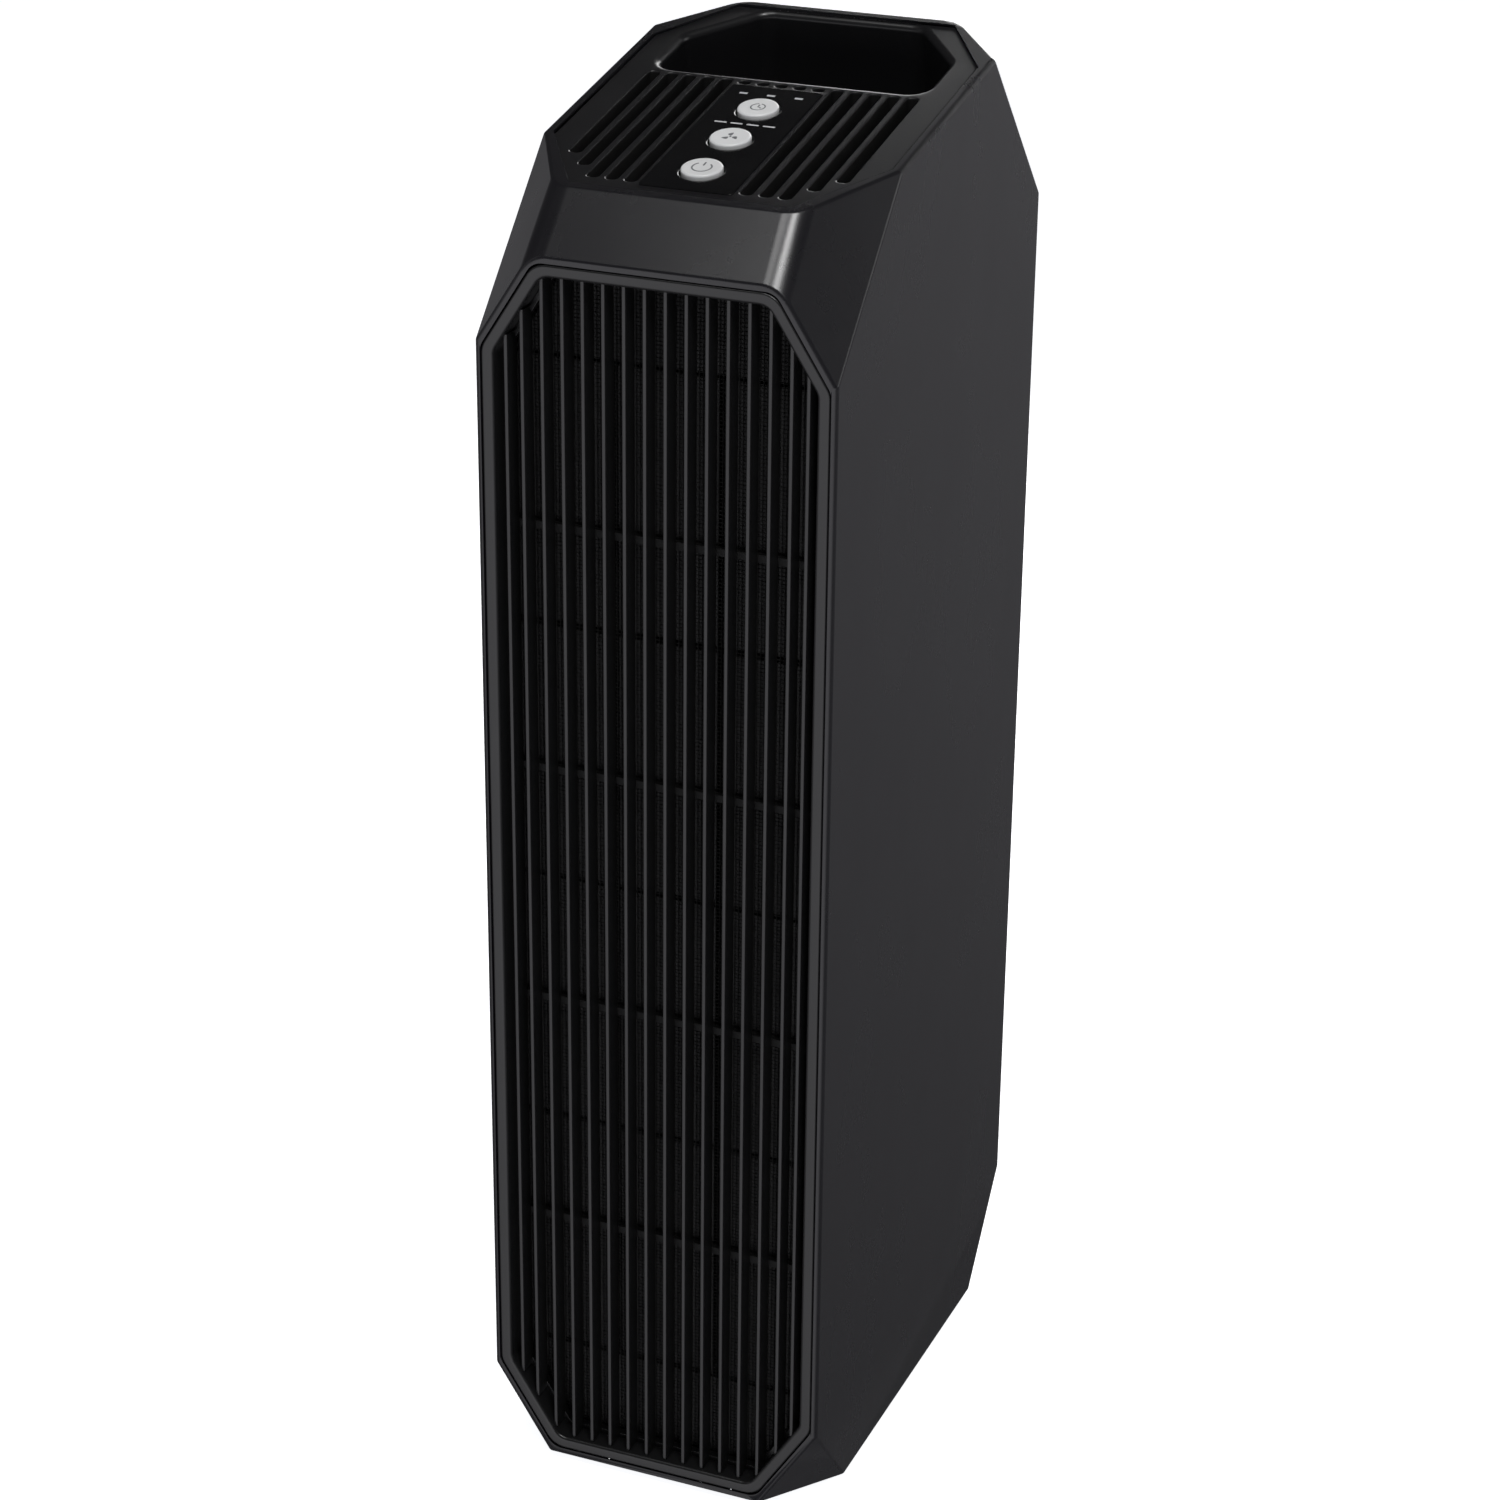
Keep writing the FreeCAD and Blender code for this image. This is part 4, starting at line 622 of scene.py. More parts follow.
def makeFinTree():
    # upright fins in a row, each as tall as the eight-sided opening is at its place
    inputs = [("Count", "NodeSocketInt", 14), ("Pitch", number, 0), ("Edge place", number, 0),
              ("Thickness", number, 0), ("Depth", number, 0), ("Nose", number, 0), ("Middle", number, 0),
              ("Material", "NodeSocketMaterial", None)] + octagonInputs
    tree, given, result = newTree("finRow", "GeometryNodeTree", inputs, [("Geometry", geometrySocket)])
    spare = maths(tree, "SUBTRACT", given["Count"], 1.0)
    start = maths(tree, "MULTIPLY", maths(tree, "MULTIPLY", spare, given["Pitch"]), -0.5)
    row = pointRow(tree, given["Count"], point(tree, X=start), point(tree, X=given["Pitch"]))
    pairStart = point(tree, X=maths(tree, "MULTIPLY", given["Edge place"], -1.0))
    pairStep = point(tree, X=maths(tree, "MULTIPLY", given["Edge place"], 2.0))
    pair = pointRow(tree, 2, pairStart, pairStep)
    spots = node(tree, "GeometryNodeJoinGeometry")
    tree.links.new(row, spots.inputs[0])
    tree.links.new(pair, spots.inputs[0])
    here = node(tree, "GeometryNodeInputPosition").outputs[0]
    top, low = spanAt(tree, given, node(tree, "ShaderNodeSeparateXYZ", {0: here}).outputs["X"])
    outline = node(tree, "GeometryNodeCurvePrimitiveQuadrilateral",
                   {"Width": given["Thickness"], "Height": given["Depth"]})
    nosed = node(tree, "GeometryNodeFilletCurve", {"Curve": outline.outputs[0], "Radius": given["Nose"]})
    nosed.mode = "POLY"
    nosed.inputs["Count"].default_value = 4
    unit = swept(tree, (0, 0, 0), (0, 0, 1), nosed.outputs[0])
    stretch = point(tree, X=1.0, Y=1.0, Z=maths(tree, "SUBTRACT", top, low))
    lift = point(tree, Y=given["Middle"], Z=low)
    fins = stretchedCopies(tree, spots.outputs[0], unit, stretch, lift)
    finishTree(tree, result, fins, given["Material"])
    return tree


def makeScatterTree():
    # one piece set down at every point of the base mesh
    inputs = [("Geometry", geometrySocket, None), ("Piece", "NodeSocketObject", None),
              ("Material", "NodeSocketMaterial", None)]
    tree, given, result = newTree("setDown", "GeometryNodeTree", inputs, [("Geometry", geometrySocket)])
    piece = node(tree, "GeometryNodeObjectInfo", {"Object": given["Piece"], "As Instance": True})
    spread = node(tree, "GeometryNodeInstanceOnPoints", {"Points": given["Geometry"],
                                                         "Instance": piece.outputs["Geometry"]})
    finishTree(tree, result, spread.outputs[0], given["Material"])
    return tree


def makeWireTree():
    # two crossing rows of thin wires, each as long as the eight-sided outline is at its place
    inputs = octagonInputs + [("Pitch", number, 0), ("Wire", number, 0),
                              ("Material", "NodeSocketMaterial", None)]
    tree, given, result = newTree("wireNet", "GeometryNodeTree", inputs, [("Geometry", geometrySocket)])
    both = node(tree, "GeometryNodeJoinGeometry")
    thread = {"Resolution": 5, "Radius": given["Wire"]}
    section = node(tree, "GeometryNodeCurvePrimitiveCircle", thread).outputs[0]
    here = node(tree, "GeometryNodeInputPosition").outputs[0]
    place = node(tree, "ShaderNodeSeparateXYZ", {0: here}).outputs
    top, low = spanAt(tree, given, place["X"])
    above = maths(tree, "SUBTRACT", place["Y"], given["High shoulder"])
    below = maths(tree, "SUBTRACT", given["Low shoulder"], place["Y"])
    over = maths(tree, "DIVIDE", above, given["High slope"])
    under = maths(tree, "DIVIDE", below, given["Low slope"])
    lost = maths(tree, "MAXIMUM", maths(tree, "MAXIMUM", over, under), 0.0)
    reach = maths(tree, "SUBTRACT", given["Half width"], lost)
    width = maths(tree, "MULTIPLY", given["Half width"], 2.0)
    height = maths(tree, "SUBTRACT", given["Top"], given["Bottom"])
    leftEdge = maths(tree, "MULTIPLY", given["Half width"], -1.0)
    behind = maths(tree, "MULTIPLY", given["Wire"], -1.0)
    rows = (("X", width, leftEdge, (0, 0, 0), (0, 1, 0),
             point(tree, X=1.0, Y=maths(tree, "SUBTRACT", top, low), Z=1.0),
             point(tree, Y=low, Z=given["Wire"])),
            ("Y", height, given["Bottom"], (-1, 0, 0), (1, 0, 0),
             point(tree, X=reach, Y=1.0, Z=1.0), point(tree, Z=behind)))
    for axis, span, first, start, end, stretch, lift in rows:
        count = maths(tree, "FLOOR", maths(tree, "DIVIDE", span, given["Pitch"]))
        begin = point(tree, **{axis: maths(tree, "MULTIPLY_ADD", given["Pitch"], 0.5, first)})
        spots = pointRow(tree, count, begin, point(tree, **{axis: given["Pitch"]}))
        wires = stretchedCopies(tree, spots, swept(tree, start, end, section), stretch, lift)
        tree.links.new(wires, both.inputs[0])
    finishTree(tree, result, both.outputs[0], given["Material"])
    return tree


finTree, scatterTree, wireTree = makeFinTree(), makeScatterTree(), makeWireTree()


def setDown(name, work, spots, finish):
    # copies of one small mesh at several places, as one plain mesh
    mesh = bpy.data.meshes.new(name + "_unit")
    work.to_mesh(mesh)
    work.free()
    unit = bpy.data.objects.new(name + "_unit", mesh)
    bpy.context.scene.collection.objects.link(unit)
    base = bpy.data.meshes.new(name + "_spots")
    base.from_pydata([tuple(s) for s in spots], [], [])
    made = runTree(name, scatterTree, {"Piece": unit, "Material": finishes[finish]}, base)
    bpy.data.objects.remove(unit)
    return made


print("geometry trees made")


refined("body_shell", "body", "casing")
stripLow, stripHigh = localBox("control_strip", topAxes)
panelLow, panelHigh = localBox("top_panel", topAxes)
casingLook = dict(rearEdge=0.35, plateEdge=0.3, socketEdge=0.3, pinEdge=0.3)
refined("rear_cover", "body", "rear_panel", casingLook["rearEdge"] * mm)
refined("base_plate", "body", "floor_plate", casingLook["plateEdge"] * mm)
refined("power_inlet", "body", "mains_socket", casingLook["socketEdge"] * mm)
refined("inlet_pins", "body", "socket_pins", casingLook["pinEdge"] * mm)
print("casing made")


def openingCorners():
    # the eight corners of the intake opening, from the rim of the fins
    points = [v.co for v in cadNodes["front_fins"].data.vertices]
    low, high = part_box("front_fins")
    near = 0.05 * mm
    side = [p.z for p in points if p.x > high.x - near]
    top = [p.x for p in points if p.z > high.z - near]
    bottom = [p.x for p in points if p.z < low.z + near]
    right = [(max(bottom), low.z), (high.x, min(side)), (high.x, max(side)), (max(top), high.z)]
    return [Vector(p) for p in right + [(-x, z) for x, z in reversed(right)]]


coverLook = dict(outerRadius=9.0, innerRadius=6.0, outerEdge=0.9, innerEdge=1.3)
opening = openingCorners()


def octagonValues(corners):
    # what the trees need to know of an eight-sided outline
    highSlope = (corners[3].y - corners[2].y) / (corners[2].x - corners[3].x)
    lowSlope = (corners[1].y - corners[0].y) / (corners[1].x - corners[0].x)
    return {"Half width": corners[1].x, "Top": corners[3].y, "Bottom": corners[0].y,
            "High shoulder": corners[2].y, "Low shoulder": corners[1].y, "High slope": highSlope,
            "Low slope": lowSlope}


def makeCoverFrame():
    look = {key: value * mm for key, value in coverLook.items()}
    low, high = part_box("front_frame")
    band = high.x - opening[1].x
    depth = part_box("front_fins")[1].y - low.y
    outer = grow(opening, band)
    work = bmesh.new()
    top, back = rolledEdge(work, outer, look["outerRadius"], -low.y, depth, look["outerEdge"], -1)
    innerTop, innerBack = rolledEdge(work, opening, look["innerRadius"], -low.y, depth, look["innerEdge"], 1)
    for first, second in ((top, innerTop), (back, innerBack)):
        joinRings(work, first, second)
    faceOutwards(work)
    placed(work, frontAxes)
    return newPiece("intake_frame", work, "front_cover", "cover_black", stands=("front_frame",))


finLook = dict(count=14, edgeGap=3.9, edgeStep=0.8, thickness=1.5, nose=0.4, bars=4, barHeight=3.0,
               barDepth=2.0, barCorner=0.3, barEdge=0.25, rim=2.0, rimDepth=3.0, rimCorner=1.5)


def makeFins():
    look = {key: value * mm for key, value in finLook.items()}
    low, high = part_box("front_fins")
    half = opening[1].x
    edge = half - look["edgeGap"]
    pitch = edge / ((finLook["count"] - 1) / 2 + finLook["edgeStep"])
    front, back = low.y, high.y - look["barDepth"]
    values = {"Count": finLook["count"], "Pitch": pitch, "Edge place": edge, "Thickness": look["thickness"],
              "Depth": back - front, "Nose": look["nose"], "Middle": (front + back) / 2,
              "Material": finishes["cover_black"], **octagonValues(opening)}
    newPiece("intake_fins", runTree("intake_fins", finTree, values), "front_cover", "cover_black",
             stands=("front_fins",))


def makeFinBars():
    # cross bars set down behind the fins, and the thin rim that ties the fin ends together
    look = {key: value * mm for key, value in finLook.items()}
    low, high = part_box("front_fins")
    halfRim, halfBar = look["rim"] / 2, look["barHeight"] / 2
    bar = box2d(low.x + halfRim, -halfBar, high.x - halfRim, halfBar)
    work = rolledPlate((bar, look["barCorner"]), [], 0, look["barDepth"], look["barEdge"])
    work.transform(frontAxes)
    step = (high.z - low.z) / (finLook["bars"] + 1)
    spots = [(0, high.y - look["barDepth"], low.z + step * (k + 1)) for k in range(finLook["bars"])]
    # the bars take the darker inner_black finish instead of the cover's: painted shade behind the fins
    newPiece("fin_bars", setDown("fin_bars", work, spots, "inner_black"), "front_cover", "inner_black")
    hole = (grow(opening, -look["rim"]), look["rimCorner"])
    rim = rolledPlate((opening, coverLook["innerRadius"] * mm), [hole], look["rimDepth"] - high.y,
                      look["rimDepth"], look["barEdge"])
    newPiece("fin_rim", placed(rim, frontAxes), "front_cover", "cover_black")


tabLook = dict(latchWidth=9.0, latchThick=1.8, latchRise=1.7, latchOffset=24.0, latchCorner=0.4,
               rootDepth=1.8, tongueWidth=12.0, tongueThick=1.6, tongueDrop=1.5, tongueOffset=26.0,
               tongueSetback=1.2, tongueCorner=0.3, edge=0.3)


def makeCoverTabs():
    # two latch fingers at the top and two hinge tongues at the bottom
    look = {key: value * mm for key, value in tabLook.items()}
    low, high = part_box("front_frame")
    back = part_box("front_fins")[1].y
    halfLatch, halfTongue = look["latchWidth"] / 2, look["tongueWidth"] / 2
    base = opening[3].y + look["latchRise"]
    fingers = bmesh.new()
    for x in (-look["latchOffset"], look["latchOffset"]):
        outline = box2d(x - halfLatch, base, x + halfLatch, base + look["latchThick"])
        depth = high.y - back + look["rootDepth"]
        top, under = rolledEdge(fingers, outline, look["latchCorner"], depth, depth, look["edge"], -1)
        for ring in (top, under):
            fingers.faces.new(ring)
    faceOutwards(fingers)
    turned = Matrix(((1, 0, 0, 0), (0, 0, 1, back - look["rootDepth"]), (0, 1, 0, 0), (0, 0, 0, 1)))
    bmesh.ops.transform(fingers, matrix=turned, verts=fingers.verts)
    faceOutwards(fingers)
    newPiece("cover_latches", fingers, "front_cover", "cover_black")
    tongues = bmesh.new()
    start = low.y + look["tongueSetback"]
    for x in (-look["tongueOffset"], look["tongueOffset"]):
        outline = box2d(x - halfTongue, start, x + halfTongue, start + look["tongueThick"])
        rise = look["tongueDrop"] + look["tongueThick"]
        for ring in rolledEdge(tongues, outline, look["tongueCorner"], 0, rise, look["edge"], -1):
            tongues.faces.new(ring)
    flip = Matrix(((1, 0, 0, 0), (0, 1, 0, 0), (0, 0, -1, low.z), (0, 0, 0, 1)))
    bmesh.ops.transform(tongues, matrix=flip, verts=tongues.verts)
    faceOutwards(tongues)
    newPiece("cover_tongues", tongues, "front_cover", "cover_black")


makeCoverFrame()
makeFins()
makeFinBars()
makeCoverTabs()


netLook = dict(pitch=1.5, wire=0.2, felt=0.6, feltCorner=2, lap=1.5)


def makePrefilter():
    low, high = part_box("prefilter_mesh")
    values = {"Pitch": netLook["pitch"] * mm, "Wire": netLook["wire"] * mm, "Material": finishes["mesh"],
              **octagonValues(grow(opening, netLook["lap"] * mm))}
    mesh = runTree("prefilter_net", wireTree, values)
    mesh.transform(Matrix.Translation((0, (low.y + high.y) / 2, 0)) @ frontAxes)
    newPiece("prefilter_net", mesh, "body", "mesh", stands=("prefilter_mesh",))
    outline = (grow(opening, netLook["lap"] * mm), netLook["feltCorner"] * mm)
    felt = rolledPlate(outline, [], -high.y, netLook["felt"] * mm, netLook["felt"] / 3 * mm)
    newPiece("prefilter_felt", placed(felt, frontAxes), "body", "mesh")


makePrefilter()
print("intake cover made")


slotLook = dict(width=4.7, firstPlace=3, perSide=5, start=1.9, stagger=8.6, end=91.3, pitch=7.19, depth=13.0,
                edge=0.6, stubStart=88.0)
recessLook = dict(side=52.6, ridge=94.9, shoulder=124.4, back=152.3, backHalf=31.1, depth=45.0, lip=2.7,
                  radius=8.0, floorRadius=6.0)
panelLook = dict(flare=1.62, frontSide=40.0, rearSide=37.0, sideInset=4.1, radius=2.0, edge=0.8, depth=3.0,
                 bedGap=0.1, bedCorner=1.2, bedDepth=1.1)
panelTop = panelHigh.z


def panelCorners():
    # the panel's eight corners, symmetrical about the middle
    half = panelHigh.x
    flare = panelLook["flare"]
    frontLift = (panelLook["frontSide"] - panelLook["sideInset"]) * mm
    rearLift = (panelLook["rearSide"] - panelLook["sideInset"]) * mm
    right = [(half - frontLift / flare, panelLow.y), (half, panelLow.y + frontLift),
             (half, panelHigh.y - rearLift), (half - rearLift / flare, panelHigh.y)]
    return [Vector(p) for p in right + [(-x, y) for x, y in reversed(right)]]


def slotCorners():
    look = {key: value * mm for key, value in slotLook.items()}
    spots = []
    for k in range(slotLook["firstPlace"], slotLook["firstPlace"] + slotLook["perSide"]):
        start = stripLow.y + look["start"] + look["stagger"] * max(0, k - 5)
        spots += [(side * look["pitch"] * k, start) for side in (-1, 1)]
    spots += [(look["pitch"] * k, stripLow.y + look["stubStart"]) for k in range(-2, 3)]
    half = look["width"] / 2
    end = stripLow.y + look["end"]
    return [box2d(x - half, start, x + half, end) for x, start in spots]


def recessCorners():
    look = {key: value * mm for key, value in recessLook.items()}
    base = stripLow.y
    right = [(look["side"], base + look["ridge"]), (look["side"], base + look["shoulder"]),
             (look["backHalf"], base + look["back"])]
    return [Vector(p) for p in right + [(-x, y) for x, y in reversed(right)]]


def recessWalls(work, corners):
    # lip, walls and floor of the hand recess; returns the ring that lies in the panel's face
    look = {key: value * mm for key, value in recessLook.items()}
    rings = []
    for k in range(7):
        angle = math.pi / 2 * k / 6
        out, drop = look["lip"] * (1 - math.sin(angle)), look["lip"] * (1 - math.cos(angle))
        rings.append(addRing(work, rounded(grow(corners, out), look["radius"] + out, 10), panelTop - drop))
    floor = look["floorRadius"]
    for k in range(7):
        angle = math.pi / 2 * k / 6
        out, rise = -floor * (1 - math.cos(angle)), floor * (1 - math.sin(angle))
        level = panelTop - look["depth"] + rise
        rings.append(addRing(work, rounded(grow(corners, out), look["radius"] + out, 10), level))
    for first, second in zip(rings, rings[1:]):
        joinRings(work, first, second)
    work.faces.new(rings[-1])
    return rings[0]


def makeTopPanel():
    work = bmesh.new()
    edge = panelLook["edge"] * mm
    radius, depth = panelLook["radius"] * mm, panelLook["depth"] * mm
    top, _ = rolledEdge(work, panelCorners(), radius, panelTop, depth, edge, -1)
    edges = ringEdges(work, top)
    slotEdge, half = slotLook["edge"] * mm, slotLook["width"] * mm / 2
    # the slot walls go down in the darker, matte inner_black finish rather than the panel's: painted shade
    # inside the slots
    throats = bmesh.new()
    for corners in slotCorners():
        top, _ = rolledEdge(work, corners, half * 0.8, panelTop, slotEdge + 0.1 * mm, slotEdge, 1)
        edges += ringEdges(work, top)
        mouth = rounded(corners, half * 0.8)
        joinRings(throats, addRing(throats, mouth, panelTop - slotEdge),
                  addRing(throats, mouth, panelTop - slotLook["depth"] * mm))
    newPiece("outlet_throats", placed(throats, topAxes), "body", "inner_black")
    edges += ringEdges(work, recessWalls(work, recessCorners()))
    gap = panelLook["bedGap"] * mm
    bed = box2d(stripLow.x - gap, stripLow.y - gap, stripHigh.x + gap, stripHigh.y + gap)
    bed = rounded(bed, panelLook["bedCorner"] * mm)
    bedTop, bedLow = addRing(work, bed, panelTop), addRing(work, bed, panelTop - panelLook["bedDepth"] * mm)
    joinRings(work, bedTop, bedLow)
    edges += ringEdges(work, bedTop)
    fillFlat(work, edges)
    faceOutwards(work)
    placed(work, topAxes)
    return newPiece("outlet_panel", work, "body", "panel_black", stands=("top_panel",))


makeTopPanel()

buttonNames = ("power_button", "speed_button", "timer_button")
stripLook = dict(corner=1.2, edge=0.25, bore=7.9, boreEdge=1.25, windowGap=0.03, windowEdge=0.05)


def makeStrip():
    # the glossy strip, with a rolled edge round every button and a tight hole for every light window
    look = {key: value * mm for key, value in stripLook.items()}
    depth = stripHigh.z - stripLow.z
    outlines = [(box2d(stripLow.x, stripLow.y, stripHigh.x, stripHigh.y), look["corner"], look["edge"], -1)]
    for name in buttonNames:
        place = localBox(name, topAxes)
        middle, bore = (place[0].y + place[1].y) / 2, look["bore"]
        square = box2d(-bore, middle - bore, bore, middle + bore)
        outlines.append((square, bore * 0.999, look["boreEdge"], 1))
    for low, high in islandBoxes("indicator_lens", topAxes):
        gap = look["windowGap"]
        window = box2d(low.x - gap, low.y - gap, high.x + gap, high.y + gap)
        outlines.append((window, gap, look["windowEdge"], 1))
    work = bmesh.new()
    topEdges, lowEdges = [], []
    for corners, radius, edge, side in outlines:
        top, low = rolledEdge(work, corners, radius, stripHigh.z, depth, edge, side, 6, 12)
        topEdges += ringEdges(work, top)
        lowEdges += ringEdges(work, low)
    for edges in (topEdges, lowEdges):
        fillFlat(work, edges)
    faceOutwards(work)
    return newPiece("control_strip_cover", placed(work, topAxes), "body", "strip_black",
                    stands=("control_strip",))


makeStrip()

buttonLook = dict(stem=2.4, stemRise=2.0, flange=8.7, flangeThick=1.0, side=7.5, shoulder=0.9, dish=0.22)


def makeButton(name):
    # a round cap with a rolled shoulder and a shallow dish, on a flange and a stem
    look = {key: value * mm for key, value in buttonLook.items()}
    low, high = localBox(name, topAxes)
    rise, side, shoulder = high.z - low.z, look["side"], look["shoulder"]
    under = look["stemRise"]
    profile = [(0, 0), (look["stem"], 0), (look["stem"], under), (look["flange"], under),
               (look["flange"], under + look["flangeThick"]), (side, under + look["flangeThick"])]
    for k in range(7):
        angle = math.pi / 2 * k / 6
        profile.append((side - shoulder * (1 - math.cos(angle)), rise - shoulder * (1 - math.sin(angle))))
    rim = side - shoulder
    for k in range(1, 8):
        share = 1 - k / 8
        profile.append((rim * share, rise - look["dish"] * (1 - share * share)))
    profile.append((0, rise - look["dish"]))
    work = lathe(profile, 64)
    middle = Vector((0, (low.y + high.y) / 2, low.z))
    placed(work, topAxes @ Matrix.Translation(middle))
    newPiece(name.replace("_button", "_cap"), work, name, "button_white", stands=(name,))


for buttonName in buttonNames:
    makeButton(buttonName)


def arcBand(radius, width, start, end, steps=40):
    # part of a ring as a closed outline
    turns = [math.radians(start + (end - start) * k / steps) for k in range(steps + 1)]
    outer = [Vector((math.cos(t), math.sin(t))) * (radius + width / 2) for t in turns]
    inner = [Vector((math.cos(t), math.sin(t))) * (radius - width / 2) for t in reversed(turns)]
    return outer + inner


def hand(start, end, width):
    # a straight stroke with round ends
    start, end = Vector(start), Vector(end)
    along = (end - start).normalized() * width / 2
    side = Vector((-along.y, along.x))
    return rounded([start - along - side, end + along - side, end + along + side, start - along + side],
                   width * 0.49, 5)


def vane(turn, length, width):
    # one curved fan vane, turned about the middle
    points = []
    for k in range(17):
        share = k / 16
        bulge = math.sin(math.pi * share ** 0.75)
        points.append(Vector((length * (0.22 + 0.78 * share), width * bulge)))
    for k in range(15, 0, -1):
        share = k / 16
        points.append(Vector((length * (0.22 + 0.78 * share), -0.15 * width * math.sin(math.pi * share))))
    spin = Matrix.Rotation(math.radians(turn), 2)
    return [spin @ p for p in points]


symbolLook = dict(stroke=0.62, level=0.14, thick=0.1)
stroke = symbolLook["stroke"]
symbols = {
    "power_button": [arcBand(3.5, stroke, 130, 410), hand((0, 1.6), (0, 4.2), stroke)],
    "speed_button": [vane(t, 3.3, 1.5) for t in (90, 210, 330)] + [disc(0, 0, 0.42, 20)],
    "timer_button": [arcBand(2.6, stroke * 0.8, 100, 440), hand((0, 0), (0, 1.6), stroke * 0.8),
                     hand((0.62, -0.36), (1.25, -0.72), stroke * 0.8)],
}


def stamped(outlines, low, high):
    # thin prisms over closed outlines
    work = bmesh.new()
    for outline in outlines:
        base, top = addRing(work, outline, low), addRing(work, outline, high)
        joinRings(work, base, top)
        work.faces.new(base)
        work.faces.new(top)
    return faceOutwards(work)


def makeSymbols():
    for name, outlines in symbols.items():
        low, high = localBox(name, topAxes)
        level = high.z - symbolLook["level"] * mm
        sized = [[p * mm for p in outline] for outline in outlines]
        work = stamped(sized, level - symbolLook["thick"] * mm, level)
        placed(work, topAxes @ Matrix.Translation((0, (low.y + high.y) / 2, 0)))
        newPiece(name.replace("_button", "_mark"), work, name, "inner_black", finishes["ink_grey"])


makeSymbols()

dashLook = dict(length=4.7, width=0.9, pitch=6.2, count=4, place=54.7, thick=0.04)


def makeDashes():
    # the printed level marks between the two rear buttons
    look = {key: value * mm for key, value in dashLook.items()}
    dash = rounded(box2d(-look["length"] / 2, -look["width"] / 2, look["length"] / 2, look["width"] / 2),
                   look["width"] * 0.45)
    work = stamped([dash], -look["thick"], look["thick"])
    middle = (dashLook["count"] - 1) / 2
    along = stripLow.y + look["place"]
    spots = [((k - middle) * look["pitch"], along, stripHigh.z) for k in range(dashLook["count"])]
    work.transform(topAxes)
    mesh = setDown("level_marks", work, [topAxes @ Vector(s) for s in spots], "ink_white")
    newPiece("level_marks", mesh, "body", "lens", finishes["ink_white"])


makeDashes()
print("sloping top made")


screwLook = dict(head=2.9, dome=0.35, shank=1.5, reach=3.2, arm=0.8, sink=0.6, headThick=1.2)


def crossCorners(reach, arm):
    r, a = reach / 2, arm / 2
    quarter = [(a, -r), (a, -a), (r, -a)]
    corners = []
    for k in range(4):
        spin = Matrix.Rotation(math.radians(90 * k), 2)
        corners += [spin @ Vector(p) for p in quarter]
    return corners


def makeRearScrews():
    # a cheese head with a cross recess on a plain shank, set down at every screw of the rear cover
    look = {key: value * mm for key, value in screwLook.items()}
    low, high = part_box("rear_screws")
    head = look["head"]
    outline = (box2d(-head, -head, head, head), head * 0.999, look["dome"], -1)
    cross = (crossCorners(look["reach"], look["arm"]), 0.12 * mm, 0.06 * mm, 1)
    work = bmesh.new()
    top, under = rolledEdge(work, *outline[:2], 0, look["headThick"], *outline[2:], 4, 8)
    well, wellFloor = rolledEdge(work, *cross[:2], 0, look["sink"], *cross[2:], 3, 3)
    fillFlat(work, ringEdges(work, top) + ringEdges(work, well))
    fillFlat(work, ringEdges(work, wellFloor))
    shank = rounded(box2d(-look["shank"], -look["shank"], look["shank"], look["shank"]),
                    look["shank"] * 0.999, 5)
    neck, tip = addRing(work, shank, -look["headThick"]), addRing(work, shank, low.y - high.y)
    joinRings(work, neck, tip)
    work.faces.new(tip)
    fillFlat(work, ringEdges(work, under) + ringEdges(work, neck))
    faceOutwards(work)
    work.transform(rearAxes)
    spots = [((a.x + b.x) / 2, high.y, (a.z + b.z) / 2) for a, b in islandBoxes("rear_screws")]
    mesh = setDown("cover_screws", work, spots, "screw_steel")
    newPiece("cover_screws", mesh, "body", "screw_steel", stands=("rear_screws",))


footLook = dict(edge=0.7, ring=5.2, groove=0.5, stem=3.0, height=3.0)


def makeFeet():
    # turned rubber feet with a ring groove underneath, set down at the four corners
    boxes = islandBoxes("foot_pads")
    low, high = boxes[0]
    radius, edge = (high.x - low.x) / 2, footLook["edge"] * mm
    ring, groove = footLook["ring"] * mm, footLook["groove"] * mm
    profile = [(0, 0), (ring - groove, 0), (ring, groove), (ring + groove, 0), (radius - edge, 0)]
    for angle in (0.4, 0.8, 1.2, math.pi / 2):
        profile.append((radius - edge * (1 - math.sin(angle)), edge * (1 - math.cos(angle))))
    height, stem = footLook["height"] * mm, footLook["stem"] * mm
    profile += [(radius - edge * 0.3, height), (stem, height), (stem, high.z - low.z), (0, high.z - low.z)]
    spots = [((a.x + b.x) / 2, (a.y + b.y) / 2, a.z) for a, b in boxes]
    mesh = setDown("rubber_feet", lathe(profile, 40), spots, "foot_rubber")
    newPiece("rubber_feet", mesh, "body", "foot_rubber", stands=("foot_pads",))


makeRearScrews()
makeFeet()
print("screws and feet made")


cameraLook = dict(azimuth=22.234, elevation=23.55, roll=0.624, distance=1.4119, target=(-0.00603, 0, 0.2695),
                  lens=87.305, sensor=36.0)


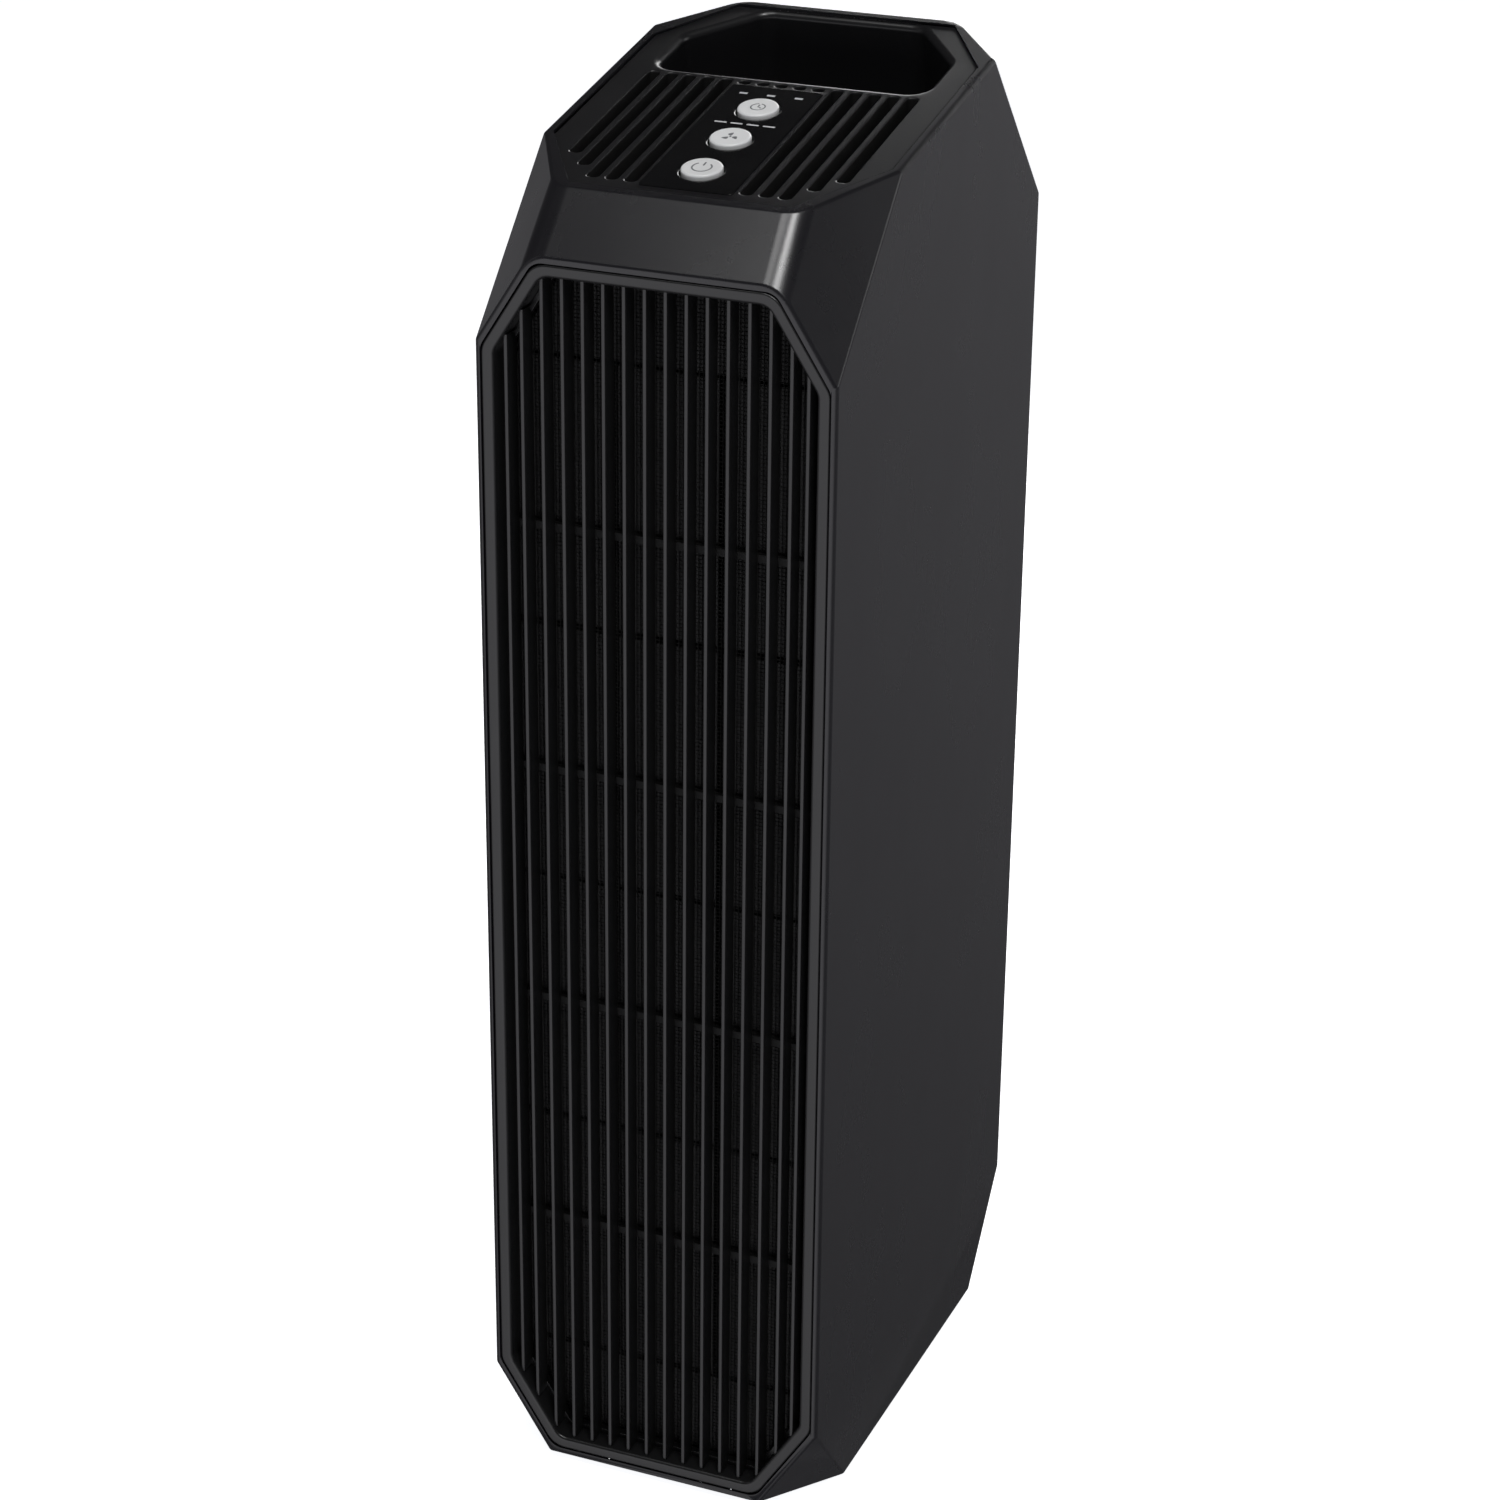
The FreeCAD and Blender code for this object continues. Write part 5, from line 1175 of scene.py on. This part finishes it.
def makeCamera():
    turn, lift, roll = (math.radians(cameraLook[key]) for key in ("azimuth", "elevation", "roll"))
    back = Vector((math.sin(turn) * math.cos(lift), -math.cos(turn) * math.cos(lift), math.sin(lift)))
    level = Vector((math.cos(turn), math.sin(turn), 0))
    upright = back.cross(level)
    right = level * math.cos(roll) + upright * math.sin(roll)
    up = upright * math.cos(roll) - level * math.sin(roll)
    data = bpy.data.cameras.new("camera")
    data.lens, data.sensor_width, data.sensor_fit = cameraLook["lens"], cameraLook["sensor"], "HORIZONTAL"
    data.clip_start, data.clip_end = 0.01, 60
    camera = bpy.data.objects.new("camera", data)
    bpy.context.scene.collection.objects.link(camera)
    place = Vector(cameraLook["target"]) + back * cameraLook["distance"]
    camera.matrix_world = Matrix.Translation(place) @ Matrix((right, up, back)).transposed().to_4x4()
    bpy.context.scene.camera = camera


makeCamera()

lamps = {
    "keyLight": dict(place=(0.50, -0.70, 1.95), aim=(0.044, -0.095, 0.505), size=(0.36, 0.5), power=14.5),
    "browLight": dict(place=(-0.19, -0.68, 1.87), aim=(0, -0.095, 0.505), size=(0.44, 0.5), power=5.4),
    "leftFill": dict(place=(-1.9, -1.0, 1.3), aim=(0, 0, 0.45), size=(1.0, 1.4), power=1.2),
    "rightFill": dict(place=(1.80, 0.75, 1.1), aim=(0, 0, 0.45), size=(0.9, 1.0), power=5.2),
    "backLight": dict(place=(-0.01, 1.25, 0.72), aim=(-0.01, 0, 0.6), size=(1.0, 0.62), power=11.0),
}


def makeLamp(name, look):
    data = bpy.data.lights.new(name, "AREA")
    data.shape = "RECTANGLE"
    data.size, data.size_y = look["size"]
    data.energy = look["power"]
    lamp = bpy.data.objects.new(name, data)
    bpy.context.scene.collection.objects.link(lamp)
    aim = Vector(look["aim"]) - Vector(look["place"])
    lamp.matrix_world = Matrix.Translation(look["place"]) @ aim.to_track_quat("-Z", "Y").to_matrix().to_4x4()
    lamp.visible_camera = False


for lampName, lampLook in lamps.items():
    makeLamp(lampName, lampLook)


studioLook = dict(above=0.035, behind=0.28, low=0.09, front=1.25)


def makeSurroundings():
    # a dark studio whose floor shows bright in front, faint behind, and fades towards straight down
    world = bpy.data.worlds.new("studio")
    world.use_nodes = True
    bpy.context.scene.world = world
    tree = world.node_tree
    place = node(tree, "ShaderNodeTexCoord").outputs["Generated"]
    axes = node(tree, "ShaderNodeSeparateXYZ", {0: place}).outputs
    behind = ramp(tree, axes["Z"], -0.55, -0.2, studioLook["low"], studioLook["behind"])
    below = maths(tree, "ADD", behind, ramp(tree, axes["Y"], -0.45, -0.85, 0.0, studioLook["front"]))
    high = ramp(tree, axes["Z"], -0.02, 0.06)
    level = node(tree, "ShaderNodeMix", {0: high, 2: below, 3: studioLook["above"]}).outputs[0]
    tree.nodes["Background"].inputs["Color"].default_value = (0.97, 0.96, 1.0, 1)
    tree.links.new(level, tree.nodes["Background"].inputs["Strength"])


def makeFloor():
    work = bmesh.new()
    bmesh.ops.create_grid(work, x_segments=1, y_segments=1, size=12)
    mesh = bpy.data.meshes.new("floor")
    work.to_mesh(mesh)
    work.free()
    floor = bpy.data.objects.new("floor", mesh)
    bpy.context.scene.collection.objects.link(floor)
    material, tree, shader = startMaterial("floor_paper", Specular_IOR_Level=0.2)
    cloud = noise(tree, objectPlace(tree), 3.0, 3.0)
    tree.links.new(mixed(tree, cloud, (0.86, 0.86, 0.86, 1), (0.9, 0.9, 0.9, 1)), shader.inputs["Base Color"])
    shader.inputs["Roughness"].default_value = 0.7
    shader.inputs["Emission Color"].default_value = (0.97, 0.98, 1, 1)
    shader.inputs["Emission Strength"].default_value = 0.97
    mesh.materials.append(material)
    floor.visible_glossy = False


makeSurroundings()
makeFloor()
bpy.context.scene.view_settings.view_transform = "Standard"
print("studio made")
